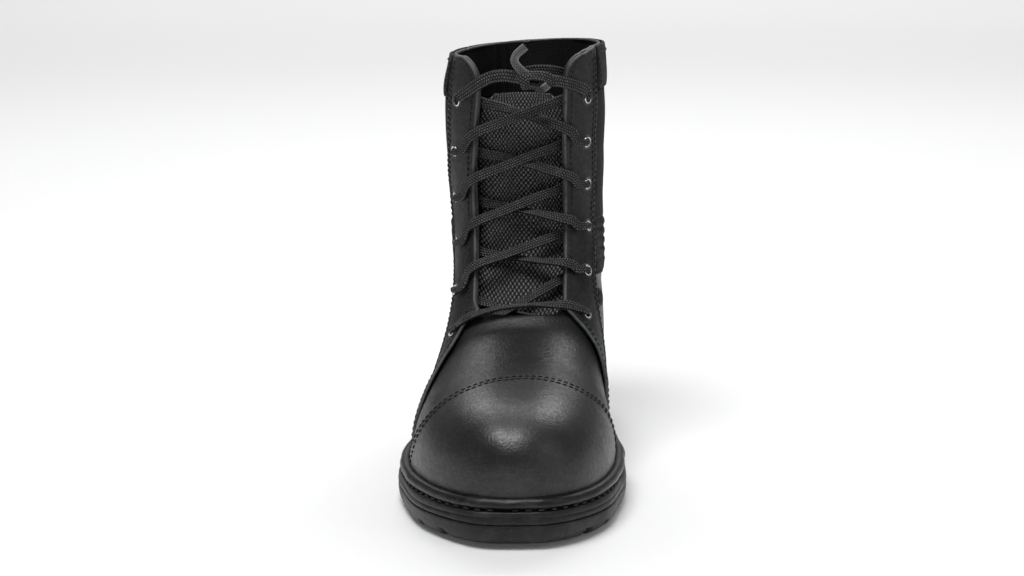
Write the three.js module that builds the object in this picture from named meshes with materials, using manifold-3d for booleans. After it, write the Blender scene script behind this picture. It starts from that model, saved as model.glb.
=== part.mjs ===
// A black leather and nylon combat boot for the right foot, as separate solids in millimetres.
// The toe points to -Y, +X is the inner (big toe) side and +Z is up. The origin is on the floor,
// in the middle of the sole's length and width.

import * as THREE from "three";
import { mergeVertices } from "three/addons/utils/BufferGeometryUtils.js";
import Module from "manifold-3d";

const wasm = await Module();
wasm.setup();

// Driving sizes of the last
const UPPER_LENGTH = 291; // toe tip to heel back, over the upper
const BALL_WIDTH = 105; // across the ball, over the upper
const INSTEP_HEIGHT = 81; // floor to the top of the foot where the shaft starts to rise
const SHAFT_HEIGHT = 221; // floor to the collar's edge at the back
const SHAFT_WIDTH = 88; // side to side at the collar
const SHAFT_DEPTH = 120; // front to back at the collar
const TOE_SPRING = 2.5; // how far the sole lifts at the toe
const HEEL_RISE = 14; // how much higher the heel sits than the forefoot
const ARCH = 9.5; // how far the waist of the sole clears the floor

// Thicknesses and clearances
const GAP = 0.3; // between pieces that touch
const WALL = 2.4; // upper with its lining
const LEATHER = 1.5; // a leather piece sewn on the upper
const CLOTH = 0.8; // a nylon piece sewn on the upper
const WEBBING = 1.7; // the woven band round the collar
const RIB = 2.6; // the ribs of the ankle panel
const OUTSOLE = 10; // under the ball, lugs included
const MIDSOLE = 6.7;
const WELT_LIP = 4.6;
const WELT_GROOVE = 1.3; // height of the stitched groove under the lip
const GROOVE_DEPTH = 1.4;
const LIP_ROLL = 3.2; // how far the lip's rounded edge reaches in
const WELT_WIDTH = 8; // how far the welt stands out from the upper's foot
const INSOLE = 4;
const TONGUE = 3;
const TONGUE_DROP = 7; // how far the tongue's edges lie below the upper's surface
const TONGUE_SAG = 6; // and how much deeper its middle lies

// Throat, collar and the pieces round them
const THROAT_FLOOR = 87; // height of the vamp's edge
const THROAT_CORNER = 5;
const COLLAR_DIP = 3; // how far the collar's back lies below its front
const COLLAR_TILT = 3.6; // degrees, its inner side stands higher
const COLLAR_CORNER = { inner: 13, outer: 17 }; // how wide its front corners are rounded
const BAND_HEIGHT = 24; // woven band below the collar's edge
const ANKLE_PANEL_TOP = 130; // at the back edge of the eyestays
const ANKLE_PANEL_HEIGHT = 31;
const ANKLE_SLOPE = 0.13; // fall of its ribs towards the back
const ANKLE_RIBS = 5;
const BACKSTAY_HALF = 10;

// Lacing
const EYELET_ROWS = 6;
const EYELET_INSET = 11.3; // from the throat's edge, seen from the front
const EYELET_SKEW = 9; // the lowest outer eyelet is this much lower than the inner one
const EYELET_HOLE = 4; // diameter
const EYELET_TUBE = 0.5; // wall of its barrel
const EYELET_FLANGE = 6.8; // diameter
const EYELET_RIM = 0.5; // height of its flange
const LACE_WIDTH = 7.2;
const LACE_THICK = 1.8;
const LACE_DIP = 0.4; // how much deeper the strand below lies where two cross

// Sole
const LUG_DEPTH = 4.2;
const LUG_GROOVE = 4.4;
const LUG_PITCH = 15.5;
const LUG_CHEVRON = 7; // how far a groove's middle lies ahead of its ends
const SPINE_GROOVE = 5; // width of the groove along the middle
const HEEL_BREAST = 0.7; // share of the upper's length where the heel begins

// Fineness of the faceted forms
const SECTIONS = 20;
const AROUND = 10; // facets from the low end to the high end of a section, on each side
const OUTLINE_STEPS = 20; // facets from toe to heel along one side of the sole
const FAR = 400; // beyond every side of the boot

const mix = (a, b, t) => a + (b - a) * t;
const clamp = (x, low, high) => Math.min(high, Math.max(low, x));
const range = (n) => Array.from({ length: n }, (_, i) => i);

// Halves the range [low, high] until the test changes from false to true there.
function halve(low, high, test) {
  for (let i = 0; i < 30; i++) {
    const mid = (low + high) / 2;
    if (test(mid)) high = mid;
    else low = mid;
  }
  return high;
}

// A smooth curve through points [x, value] that never swings past its points.
function smoothCurve(points) {
  const last = points.length - 1;
  const rise = points.slice(1).map(([x, v], i) => (v - points[i][1]) / (x - points[i][0]));
  const slope = points.map((_, i) => {
    if (i === 0) return rise[0];
    if (i === last) return rise[last - 1];
    return rise[i - 1] * rise[i] <= 0 ? 0 : (2 * rise[i - 1] * rise[i]) / (rise[i - 1] + rise[i]);
  });
  return (x) => {
    const at = clamp(x, points[0][0], points[last][0]);
    let i = 0;
    while (i < last - 1 && at > points[i + 1][0]) i++;
    const [x0, v0] = points[i];
    const [x1, v1] = points[i + 1];
    const step = x1 - x0;
    const t = (at - x0) / step;
    const start = 2 * t ** 3 - 3 * t ** 2 + 1;
    const leave = t ** 3 - 2 * t ** 2 + t;
    const arrive = t ** 3 - t ** 2;
    return start * v0 + leave * step * slope[i] + (1 - start) * v1 + arrive * step * slope[i + 1];
  };
}
const columnOf = (rows, by, key) => smoothCurve(rows.map((row) => [row[by], row[key]]));

// Lengths are counted from the upper's toe tip. Heights come as shares: 0 to 1 is floor to instep,
// and 1 to 2 is instep to collar.
const heightOf = (share) =>
  share <= 1 ? share * INSTEP_HEIGHT : mix(INSTEP_HEIGHT, SHAFT_HEIGHT, share - 1);
const shareOf = (z) =>
  z <= INSTEP_HEIGHT ? z / INSTEP_HEIGHT : 1 + (z - INSTEP_HEIGHT) / (SHAFT_HEIGHT - INSTEP_HEIGHT);

// Side view of the sole, with the length as a share. spring and rise are shares of TOE_SPRING and
// HEEL_RISE, and arch is a share of ARCH.
const SOLE_ROWS = [
  { along: 0, spring: 1, rise: 0, arch: 0 },
  { along: 0.05, spring: 0.7, rise: 0, arch: 0 },
  { along: 0.1, spring: 0.44, rise: 0, arch: 0 },
  { along: 0.17, spring: 0.17, rise: 0, arch: 0 },
  { along: 0.25, spring: 0.02, rise: 0, arch: 0 },
  { along: 0.29, spring: 0, rise: 0, arch: 0 },
  { along: 0.4, spring: 0, rise: 0, arch: 0 },
  { along: 0.48, spring: 0, rise: 0.09, arch: 0.3 },
  { along: 0.56, spring: 0, rise: 0.3, arch: 0.68 },
  { along: 0.64, spring: 0, rise: 0.58, arch: 0.96 },
  { along: HEEL_BREAST - 0.012, spring: 0, rise: 0.76, arch: 1 },
  { along: HEEL_BREAST, spring: 0, rise: 0.79, arch: 0 },
  { along: 0.8, spring: 0, rise: 0.99, arch: 0 },
  { along: 0.84, spring: 0, rise: 1, arch: 0 },
  { along: 1, spring: 0, rise: 1, arch: 0 },
];
const springShare = columnOf(SOLE_ROWS, "along", "spring");
const riseShare = columnOf(SOLE_ROWS, "along", "rise");
const archShare = columnOf(SOLE_ROWS, "along", "arch");
const springAt = (y) => TOE_SPRING * springShare(y / UPPER_LENGTH);
const tread = (y) => springAt(y) + ARCH * archShare(y / UPPER_LENGTH);
const soleTop = (y) => OUTSOLE + MIDSOLE + GAP + springAt(y) + HEEL_RISE * riseShare(y / UPPER_LENGTH);
const outsoleTop = (y) => soleTop(y) - MIDSOLE - GAP;
const weltTop = (y) => soleTop(y) + WELT_GROOVE + WELT_LIP;

// The sections of the last. Each is a plane curve from its low end (under the foot, or up the back
// of the heel) to its high end (along the top of the foot, or up the shin).
// low, high: lengths as shares. back, front: heights as shares, and without back the low end keeps
// under the sole's top. inner, outer: half widths, as shares of half the ball's or the shaft's
// width. wide: share of the way up where it is widest. soft, round: how square it is below and
// above that.
const SECTION_ROWS = [
  { low: 0.0, high: 0.0, front: 0.457, inner: 0.0, outer: 0.0, wide: 0.45, soft: 4.2, round: 2.5 },
  { low: 0.007, high: 0.007, front: 0.549, inner: 0.24, outer: 0.21, wide: 0.43, soft: 4.2, round: 2.5 },
  { low: 0.022, high: 0.022, front: 0.631, inner: 0.41, outer: 0.365, wide: 0.41, soft: 4.2, round: 2.5 },
  { low: 0.052, high: 0.052, front: 0.712, inner: 0.6, outer: 0.545, wide: 0.4, soft: 4.2, round: 2.45 },
  { low: 0.1, high: 0.1, front: 0.772, inner: 0.775, outer: 0.725, wide: 0.38, soft: 4.2, round: 2.4 },
  { low: 0.168, high: 0.168, front: 0.81, inner: 0.9, outer: 0.885, wide: 0.37, soft: 4.2, round: 2.35 },
  { low: 0.24, high: 0.24, front: 0.837, inner: 0.96, outer: 0.985, wide: 0.36, soft: 4.2, round: 2.3 },
  { low: 0.316, high: 0.316, front: 0.875, inner: 0.965, outer: 1.035, wide: 0.35, soft: 4.1, round: 2.25 },
  { low: 0.388, high: 0.385, front: 0.935, inner: 0.925, outer: 1.015, wide: 0.36, soft: 3.9, round: 2.25 },
  { low: 0.46, high: 0.447, front: 1.01, inner: 0.87, outer: 0.96, wide: 0.38, soft: 3.6, round: 2.3 },
  { low: 0.535, high: 0.498, front: 1.095, inner: 0.84, outer: 0.91, wide: 0.4, soft: 3.4, round: 2.4 },
  { low: 0.625, high: 0.54, front: 1.2, inner: 0.84, outer: 0.88, wide: 0.42, soft: 3.3, round: 2.5 },
  { low: 0.73, high: 0.568, front: 1.31, inner: 0.885, outer: 0.87, wide: 0.43, soft: 3.5, round: 2.55 },
  { low: 0.85, high: 0.582, front: 1.42, inner: 0.9, outer: 0.87, wide: 0.44, soft: 3.7, round: 2.6 },
  { low: 0.965, high: 0.586, front: 1.52, inner: 0.9, outer: 0.89, wide: 0.46, soft: 2.7, round: 2.6 },
  { low: 1.0, high: 0.587, back: 0.56, front: 1.61, inner: 0.92, outer: 0.92, wide: 0.48, soft: 2.3, round: 2.65 },
  { low: 0.992, high: 0.587, back: 0.87, front: 1.69, inner: 0.935, outer: 0.945, wide: 0.5, soft: 2.25, round: 2.65 },
  { low: 0.973, high: 0.586, back: 1.13, front: 1.77, inner: 0.95, outer: 0.965, wide: 0.52, soft: 2.2, round: 2.7 },
  { low: 0.96, high: 0.584, back: 1.37, front: 1.85, inner: 0.965, outer: 0.97, wide: 0.52, soft: 2.2, round: 2.7 },
  { low: 0.959, high: 0.581, back: 1.63, front: 1.93, inner: 0.975, outer: 0.965, wide: 0.52, soft: 2.2, round: 2.7 },
  { low: 0.966, high: 0.578, back: 1.89, front: 2.02, inner: 0.97, outer: 0.91, wide: 0.52, soft: 2.2, round: 2.7 },
  { low: 0.975, high: 0.574, back: 2.17, front: 2.13, inner: 0.96, outer: 0.87, wide: 0.52, soft: 2.2, round: 2.7 },
].map((row, at) => ({ at, back: null, ...row }));
const LAST_ROW = SECTION_ROWS.length - 1;
const SINK = 19.5; // how far the form goes on below the sole's top before it is cut off there
const AXIS_SHIFT = 2.8; // the heel's axis lies this far to the inner side of the sole's middle
const BALL_SHIFT = -1.5; // the ball lies this far to the outer side of the heel's axis
const RIDGE_LEAN = 3.5; // the ridge of the instep lies this far to the inner side
const SHAFT_REAR = 0.966; // share of the length where the shaft's back stands at the collar
const SHAFT_FRONT = 0.578; // and its front, when the shaft has its full depth

const column = Object.fromEntries(
  ["low", "high", "front", "inner", "outer", "wide", "soft", "round"].map((key) => [
    key,
    columnOf(SECTION_ROWS, "at", key),
  ]),
);
// 0 in the foot and 1 in the shaft
const legShare = smoothCurve([[9, 0], [10, 0.1], [11, 0.25], [12, 0.4], [13, 0.6], [15, 0.85], [17, 1]]);
const FIRST_BACK = SECTION_ROWS.findIndex((row) => row.back !== null);
const lowHeight = smoothCurve(
  SECTION_ROWS.map((row) => [
    row.at,
    row.back === null ? soleTop(row.low * UPPER_LENGTH) - SINK : heightOf(row.back),
  ]),
);
const shiftShare = smoothCurve([[0, -1.9], [3, -0.7], [6, 1], [9, 0.8], [13, 0.1], [15, 0], [LAST_ROW, 0]]);
const leanShare = smoothCurve([[0, 0], [4, 0.2], [8, 0.9], [10, 1], [14, 0.35], [18, 0], [LAST_ROW, 0]]);

// A point of the last's surface. u is the section, from 0 at the toe tip to LAST_ROW above the
// collar. turn is 0 at the section's low end and PI at its high end. side is 1 inside, -1 outside.
function lastPoint(u, turn, side) {
  const leg = legShare(u);
  const yLow = column.low(u) * UPPER_LENGTH;
  const deep = (SHAFT_REAR - column.high(u)) / (SHAFT_REAR - SHAFT_FRONT);
  const yHigh = mix(column.high(u) * UPPER_LENGTH, SHAFT_REAR * UPPER_LENGTH - deep * SHAFT_DEPTH, leg);
  const half = (mix(BALL_WIDTH, SHAFT_WIDTH, leg) / 2) * (side > 0 ? column.inner(u) : column.outer(u));
  const wide = column.wide(u);
  const below = turn < Math.PI / 2;
  const power = 2 / (below ? column.soft(u) : column.round(u));
  const along = Math.abs(Math.cos(turn)) ** power;
  const s = below ? wide * (1 - along) : wide + (1 - wide) * along;
  const middle = AXIS_SHIFT + BALL_SHIFT * shiftShare(u) + RIDGE_LEAN * leanShare(u) * s;
  const x = middle + side * half * Math.max(0, Math.sin(turn)) ** power;
  return new THREE.Vector3(x, mix(yLow, yHigh, s), mix(lowHeight(u), heightOf(column.front(u)), s));
}

// The outward normal there, from points close by.
const NEAR = 0.03;
function lastNormal(u, turn, side) {
  const flat = clamp(turn, NEAR, Math.PI - NEAR);
  const at = clamp(u, 0.15, LAST_ROW);
  const next = Math.min(at + NEAR, LAST_ROW);
  const along = lastPoint(next, flat, side).sub(lastPoint(at - NEAR, flat, side));
  const round = lastPoint(at, flat + NEAR, side).sub(lastPoint(at, flat - NEAR, side));
  const normal = along.cross(round).multiplyScalar(side).normalize();
  if (turn < NEAR || turn > Math.PI - NEAR || u < NEAR) normal.x = 0;
  return normal.normalize();
}
const offsetPoint = (u, turn, side, out) =>
  lastPoint(u, turn, side).addScaledVector(lastNormal(u, turn, side), out);

// The place on the front of the last with this x and z.
function surfaceAt(x, z) {
  const ridge = halve(6, LAST_ROW, (u) => lastPoint(u, Math.PI, 1).z > z);
  const side = x > lastPoint(ridge, Math.PI, 1).x ? 1 : -1;
  const turnAt = (u) => halve(Math.PI / 2, Math.PI, (turn) => side * lastPoint(u, turn, side).x < side * x);
  const u = halve(6, LAST_ROW, (at) => lastPoint(at, turnAt(at), side).z > z);
  const turn = turnAt(u);
  return { point: lastPoint(u, turn, side), normal: lastNormal(u, turn, side) };
}
const spotAt = (x, z, out) => {
  const { point, normal } = surfaceAt(x, z);
  return point.addScaledVector(normal, out);
};

// Solids from points and triangles, from extrusions and from lathes
function meshFrom(points, index) {
  const geometry = new THREE.BufferGeometry().setFromPoints(points);
  geometry.setIndex(index);
  return geometry;
}

function solidOf(geometry) {
  const bare = new THREE.BufferGeometry().setAttribute("position", geometry.getAttribute("position"));
  if (geometry.index) bare.setIndex(geometry.index);
  const merged = mergeVertices(bare, 1e-4);
  const all = merged.index.array;
  const index = [];
  for (let i = 0; i < all.length; i += 3) {
    const [a, b, c] = [all[i], all[i + 1], all[i + 2]];
    if (a !== b && b !== c && c !== a) index.push(a, b, c);
  }
  return new wasm.Manifold(
    new wasm.Mesh({
      numProp: 3,
      vertProperties: merged.attributes.position.array,
      triVerts: new Uint32Array(index),
    }),
  );
}

function geometryOf(solid) {
  const mesh = solid.getMesh();
  const geometry = new THREE.BufferGeometry();
  geometry.setAttribute("position", new THREE.BufferAttribute(mesh.vertProperties.slice(), 3));
  geometry.setIndex(new THREE.BufferAttribute(mesh.triVerts.slice(), 1));
  geometry.computeVertexNormals();
  return geometry;
}
const cutAll = (solid, tools) => tools.reduce((left, tool) => left.subtract(tool), solid);
const union = (solids) => solids.reduce((all, one) => all.add(one));

// Triangles of a band between two closed rings of n points, the second ring starting at point b.
function bandBetween(a, b, n) {
  return range(n).flatMap((j) => {
    const next = (j + 1) % n;
    return [a + j, a + next, b + next, a + j, b + next, b + j];
  });
}

// A solid from rings of points with the same number each, closed by strips between the two halves
// of its first and last ring, whose points j and n - j lie opposite each other.
function ringSolid(rings) {
  const n = rings[0].length;
  const index = range(rings.length - 1).flatMap((k) => bandBetween(k * n, (k + 1) * n, n));
  const top = (rings.length - 1) * n;
  for (let j = 0; j < n / 2; j++) {
    const [a, b, c, d] = [j, j + 1, n - j - 1, (n - j) % n];
    if (j > 0) index.push(a, d, b, top + a, top + b, top + d);
    if (b !== c) index.push(b, d, c, top + b, top + c, top + d);
  }
  return solidOf(meshFrom(rings.flat(), index));
}

// The closed form of the last, grown outwards by out.
function form(out) {
  const rings = range(SECTIONS + 1).map((k) => {
    const u = (k / SECTIONS) * LAST_ROW;
    const line = (side) => range(AROUND + 1).map((j) => offsetPoint(u, (Math.PI * j) / AROUND, side, out));
    const inner = line(1);
    const outer = k === 0 ? inner : line(-1);
    return [...inner, ...outer.slice(1, -1).reverse()];
  });
  return ringSolid(rings.reverse());
}
const layer = (inner, outer) => form(outer).subtract(form(inner));

// Prisms that cut pieces out: across runs along X from a side view [y, z], ahead runs along Y from
// a front view [x, z], and upright runs along Z from a plan [x, y].
const [X, Y, Z] = [new THREE.Vector3(1, 0, 0), new THREE.Vector3(0, 1, 0), new THREE.Vector3(0, 0, 1)];
function prism(points, depth, basis, start) {
  const shape = new THREE.Shape(points.map(([a, b]) => new THREE.Vector2(a, b)));
  const geometry = new THREE.ExtrudeGeometry(shape, { depth, bevelEnabled: false, curveSegments: 1 });
  geometry.applyMatrix4(new THREE.Matrix4().makeBasis(...basis).setPosition(...start));
  return solidOf(geometry);
}
const across = (points, from = -FAR, to = FAR) => prism(points, to - from, [Y, Z, X], [from, 0, 0]);
const ahead = (points, from, to) => prism(points, to - from, [X, Z, Y.clone().negate()], [0, to, 0]);
const upright = (points, from = -FAR, to = FAR) => prism(points, to - from, [X, Y, Z], [0, 0, from]);
const halfSpace = (side, gap) =>
  upright([[side * gap, -FAR], [side * FAR, -FAR], [side * FAR, FAR], [side * gap, FAR]]);

// Points along a line between two values of its argument.
const sample = (line, from, to, steps) => range(steps + 1).map((i) => {
  const at = mix(from, to, i / steps);
  return [at, line(at)];
});
const [Y_BEFORE, Y_BEHIND] = [-0.2 * UPPER_LENGTH, 1.2 * UPPER_LENGTH];
const STEPS = 20; // facets of a side view line from toe to heel
const SOLE_CUT_STEPS = 44; // and of the cut where the upper meets the sole
const underLine = (line, steps = STEPS) =>
  across([[Y_BEFORE, -FAR], [Y_BEHIND, -FAR], ...sample(line, Y_BEFORE, Y_BEHIND, steps).reverse()]);

// The collar's edge, seen from the side, lowered by drop
const collarFront = SHAFT_HEIGHT + COLLAR_DIP;
const collarLine = smoothCurve([
  [0, collarFront],
  [SHAFT_REAR * UPPER_LENGTH - 0.8 * SHAFT_DEPTH, collarFront],
  [SHAFT_REAR * UPPER_LENGTH - 0.4 * SHAFT_DEPTH, SHAFT_HEIGHT + 0.4 * COLLAR_DIP],
  [SHAFT_REAR * UPPER_LENGTH, SHAFT_HEIGHT],
]);
const belowCollar = (drop) =>
  underLine((y) => collarLine(y) - drop - SHAFT_HEIGHT)
    .rotate([0, -COLLAR_TILT, 0])
    .translate([0, 0, SHAFT_HEIGHT]);

// The throat's edges, seen from the front: distances from the middle, up its height
const THROAT_ROWS = [
  { rise: 0, inner: 25.6, outer: 21.8 },
  { rise: 0.25, inner: 25.4, outer: 21.9 },
  { rise: 0.45, inner: 25.1, outer: 22.6 },
  { rise: 0.65, inner: 25.1, outer: 21.8 },
  { rise: 0.82, inner: 25.8, outer: 19.8 },
  { rise: 1, inner: 26.2, outer: 17.5 },
];
const throatSide = {
  inner: columnOf(THROAT_ROWS, "rise", "inner"),
  outer: columnOf(THROAT_ROWS, "rise", "outer"),
};
const sideName = (side) => (side > 0 ? "inner" : "outer");
const throatEdge = (z, side) =>
  side * throatSide[sideName(side)](clamp((z - THROAT_FLOOR) / (collarFront - THROAT_FLOOR), 0, 1));
const throatCorner = (side) => range(5).map((i) => {
  const turn = (Math.PI / 2) * (i / 4);
  const size = COLLAR_CORNER[sideName(side)];
  return [size * (1 - Math.cos(turn)), size * (Math.sin(turn) - 1)];
});
const MID_SHAFT = SHAFT_REAR * UPPER_LENGTH - 0.5 * SHAFT_DEPTH;

// The space of the throat, wider by grow on each side.
function throat(grow) {
  const halfLine = (side) => {
    const floor = THROAT_FLOOR - grow;
    const size = COLLAR_CORNER[sideName(side)];
    const corner = collarFront - size;
    const edge = (z) => throatEdge(z, side) + side * grow;
    return [
      [edge(floor) - side * THROAT_CORNER, floor],
      [edge(floor) - side * 0.3 * THROAT_CORNER, floor + 0.3 * THROAT_CORNER],
      ...range(5).map((i) => mix(floor + THROAT_CORNER, corner, i / 5)).map((z) => [edge(z), z]),
      ...throatCorner(side).map(([x, z]) => [edge(corner) + side * x, collarFront + z]),
      [edge(corner) + side * (size + 5), collarFront + 2],
      [edge(corner) + side * (size + 5), FAR],
    ];
  };
  return ahead([...halfLine(1), ...halfLine(-1).reverse()], Y_BEFORE, MID_SHAFT);
}

// Eyelets: their places, holes and solids
const LACE_OVER = GAP + LEATHER + GAP + EYELET_RIM + GAP + LACE_THICK / 2; // a lace on an eyestay
const LACE_UNDER = WALL + GAP + LACE_THICK / 2; // a lace behind the upper's wall
const EYELET_SPREAD = { inner: 1.06, outer: 1.18 }; // above 1 the lower rows are closer together
function eyeletPlace(row, side) {
  const low = THROAT_FLOOR - 3.5 - (side < 0 ? EYELET_SKEW : 0);
  const high = collarFront - 25 - (side < 0 ? 1.5 : 0);
  const z = mix(low, high, (row / (EYELET_ROWS - 1)) ** EYELET_SPREAD[sideName(side)]);
  return { row, side, z, x: throatEdge(z, side) + side * EYELET_INSET };
}
const eyelets = range(EYELET_ROWS).flatMap((row) => [eyeletPlace(row, 1), eyeletPlace(row, -1)]);
const eyeletOf = (row, side) => eyelets[2 * row + (side > 0 ? 0 : 1)];

// A lathe profile [radius, height] stood on the last at an eyelet.
const EYELET_SIDES = 8;
function standAt(place, profile) {
  const { point, normal } = surfaceAt(place.x, place.z);
  const lathe = new THREE.LatheGeometry(profile.map(([r, h]) => new THREE.Vector2(r, h)), EYELET_SIDES);
  lathe.applyQuaternion(new THREE.Quaternion().setFromUnitVectors(Y, normal));
  return solidOf(lathe.translate(point.x, point.y, point.z));
}
const BORE = EYELET_HOLE / 2;
const holeRadius = BORE + EYELET_TUBE + GAP;
const HOLE_REACH = 9; // beyond both faces of the upper
const holeProfile = [[0, -HOLE_REACH], [holeRadius, -HOLE_REACH], [holeRadius, HOLE_REACH], [0, HOLE_REACH]];
const eyeletHoles = eyelets.map((place) => standAt(place, holeProfile));
function makeEyelet(place) {
  const seat = GAP + LEATHER + GAP;
  return standAt(place, [
    [BORE, -WALL],
    [BORE + EYELET_TUBE, -WALL],
    [BORE + EYELET_TUBE, seat],
    [EYELET_FLANGE / 2, seat],
    [EYELET_FLANGE / 2 - 0.4, seat + EYELET_RIM],
    [BORE, seat + EYELET_RIM],
    [BORE, -WALL],
  ]);
}

// The upper: one wall, open at the collar and the throat, and underneath where the sole closes it
const makeUpper = () =>
  cutAll(layer(-WALL, 0).intersect(belowCollar(0)), [
    underLine((y) => soleTop(y) + GAP, SOLE_CUT_STEPS),
    throat(0),
    ...eyeletHoles,
  ]);

// The sole's outline: the line where the upper meets it, pushed outwards
const WELT_ROWS = [
  { along: 0, width: 0.9 },
  { along: 0.25, width: 1.06 },
  { along: 0.36, width: 1.08 },
  { along: 0.46, width: 0.96 },
  { along: 0.6, width: 0.7 },
  { along: 0.8, width: 0.58 },
  { along: 1, width: 0.55 },
];
const weltShare = columnOf(WELT_ROWS, "along", "width");
const onSole = (point) => point.z > soleTop(point.y);
const featherPoint = (u, side) =>
  lastPoint(u, halve(0, Math.PI / 2, (turn) => onSole(lastPoint(u, turn, side))), side);
const heelSection = halve(FIRST_BACK - 1, FIRST_BACK, (u) => onSole(lastPoint(u, 0, 1))) - 1e-4;

// Its points along one side, from the toe's tip to the heel's back, closer together at both ends.
const FEATHER_STEPS = 400;
function feather(side) {
  const dense = range(FEATHER_STEPS + 1).map((i) =>
    featherPoint(Math.max(1 - (1 - i / FEATHER_STEPS) ** 3, 1e-4) * heelSection, side),
  );
  const run = [0];
  for (let i = 1; i <= FEATHER_STEPS; i++) run.push(run[i - 1] + dense[i].distanceTo(dense[i - 1]));
  return range(OUTLINE_STEPS + 1).map((i) => {
    const t = i / OUTLINE_STEPS;
    const target = mix(t, 0.5 - 0.5 * Math.cos(Math.PI * t), 0.35) * run[FEATHER_STEPS];
    const k = clamp(run.findIndex((r) => r >= target), 1, FEATHER_STEPS);
    return dense[k - 1].clone().lerp(dense[k], (target - run[k - 1]) / (run[k] - run[k - 1]));
  });
}
const featherLoop = [...feather(1), ...feather(-1).slice(1, -1).reverse()];

// The sole's outline, out beyond its plain edge.
function outline(out) {
  const n = featherLoop.length;
  return featherLoop.map((point, i) => {
    const before = featherLoop[(i + n - 1) % n];
    const after = featherLoop[(i + 1) % n];
    const along = new THREE.Vector2(after.x - before.x, after.y - before.y).normalize();
    const push = WELT_WIDTH * weltShare(point.y / UPPER_LENGTH) + out;
    return [point.x + along.y * push, point.y - along.x * push];
  });
}
const plainEdge = outline(0);
const middleOf = (values) => (Math.min(...values) + Math.max(...values)) / 2;
const ORIGIN = [0, 1].map((axis) => middleOf(plainEdge.map((point) => point[axis])));

// A layer of the sole from [out, height above y] pairs, bottom to top.
const soleLayer = (edges) =>
  ringSolid(edges.map(([out, height]) => outline(out).map(([x, y]) => new THREE.Vector3(x, y, height(y)))));

// The grooves between the lugs: chevrons across the forefoot and the heel, and one along the middle
function makeGrooves() {
  const chevron = (y) => {
    const edge = BALL_WIDTH;
    const half = LUG_GROOVE / 2;
    return upright([
      [-edge, y + half], [0, y - LUG_CHEVRON + half], [edge, y + half],
      [edge, y - half], [0, y - LUG_CHEVRON - half], [-edge, y - half],
    ].reverse());
  };
  const rowsFrom = (start, end) =>
    range(Math.floor((end - start) / LUG_PITCH) + 1).map((i) => start + i * LUG_PITCH);
  const spine = (from, to) =>
    upright([
      [-SPINE_GROOVE / 2, from], [SPINE_GROOVE / 2, from], [SPINE_GROOVE / 2, to], [-SPINE_GROOVE / 2, to],
    ]);
  const [toeEnd, archStart] = [0.035 * UPPER_LENGTH, 0.43 * UPPER_LENGTH];
  const [heelStart, heelEnd] = [HEEL_BREAST * UPPER_LENGTH, 0.955 * UPPER_LENGTH];
  const plan = union([
    ...rowsFrom(toeEnd + 8, archStart).map(chevron),
    ...rowsFrom(heelStart + 1.2 * LUG_PITCH, heelEnd - 0.6 * LUG_PITCH).map(chevron),
    spine(toeEnd, archStart + 8),
    spine(heelStart + 8, heelEnd - 6),
  ]);
  return plan.intersect(underLine((y) => tread(y) + LUG_DEPTH));
}

const makeOutsole = () =>
  soleLayer([
    [-4, tread],
    [-2.6, (y) => tread(y) + 1],
    [-0.4, (y) => outsoleTop(y) - 1.6],
    [-0.4, outsoleTop],
  ]).subtract(makeGrooves());

const makeMidsole = () =>
  soleLayer([
    [0, (y) => soleTop(y) - MIDSOLE],
    [0.2, (y) => soleTop(y) - 0.5 * MIDSOLE],
    [-0.2, soleTop],
  ]);

// The welt: a stitched groove under a rolled lip, round the foot of the upper
function makeWelt() {
  const lip = (share) => (y) => soleTop(y) + WELT_GROOVE + share * WELT_LIP;
  return soleLayer([
    [-GROOVE_DEPTH, (y) => soleTop(y) + GAP],
    [-GROOVE_DEPTH, lip(0)],
    [-0.4, lip(0.07)],
    [-0.4, lip(0.6)],
    [-LIP_ROLL, lip(1)],
  ]).subtract(form(GAP));
}

const makeInsole = () =>
  form(-WALL - GAP)
    .intersect(underLine((y) => soleTop(y) + GAP + INSOLE))
    .subtract(underLine((y) => soleTop(y) + GAP, SOLE_CUT_STEPS));

// The tongue: a sheet behind the throat, deeper in its middle than at its edges
const TONGUE_ROWS = [
  { rise: 0, half: 27 },
  { rise: 0.1, half: 31 },
  { rise: 0.6, half: 31 },
  { rise: 0.93, half: 27 },
  { rise: 1, half: 20 },
];
function makeTongue() {
  const half = columnOf(TONGUE_ROWS, "rise", "half");
  const [low, high] = [THROAT_FLOOR - 12, collarFront - 24];
  const [rows, columns] = [10, 6];
  const rings = range(rows + 1).map((k) => {
    const rise = 1 - (1 - k / rows) ** 1.3;
    const z = mix(low, high, rise);
    const line = (depth) =>
      range(columns + 1).map((j) => {
        const across = 2 * (j / columns) - 1;
        return spotAt(3 + across * half(rise), z, -TONGUE_DROP - TONGUE_SAG * (1 - across ** 2) - depth);
      });
    return [...line(0), ...line(TONGUE).reverse()];
  });
  const n = rings[0].length;
  const index = range(rows).flatMap((k) => bandBetween(k * n, (k + 1) * n, n));
  const top = rows * n;
  for (let j = 0; j < columns; j++) {
    const [a, b, c, d] = [j, j + 1, n - 2 - j, n - 1 - j];
    index.push(a, c, b, a, d, c, top + a, top + b, top + c, top + a, top + c, top + d);
  }
  return solidOf(meshFrom(rings.flat(), index));
}

// Pieces sewn on the upper. The toe cap ends on this line, in plan: x as a share of the ball's
// width and y as a share of the length.
const CAP_LINE = [
  [-0.76, 0.34], [-0.5, 0.275], [-0.44, 0.224], [-0.33, 0.207], [-0.2, 0.211], [-0.05, 0.23],
  [0.1, 0.242], [0.25, 0.248], [0.36, 0.26], [0.46, 0.292], [0.76, 0.35],
];
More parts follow.
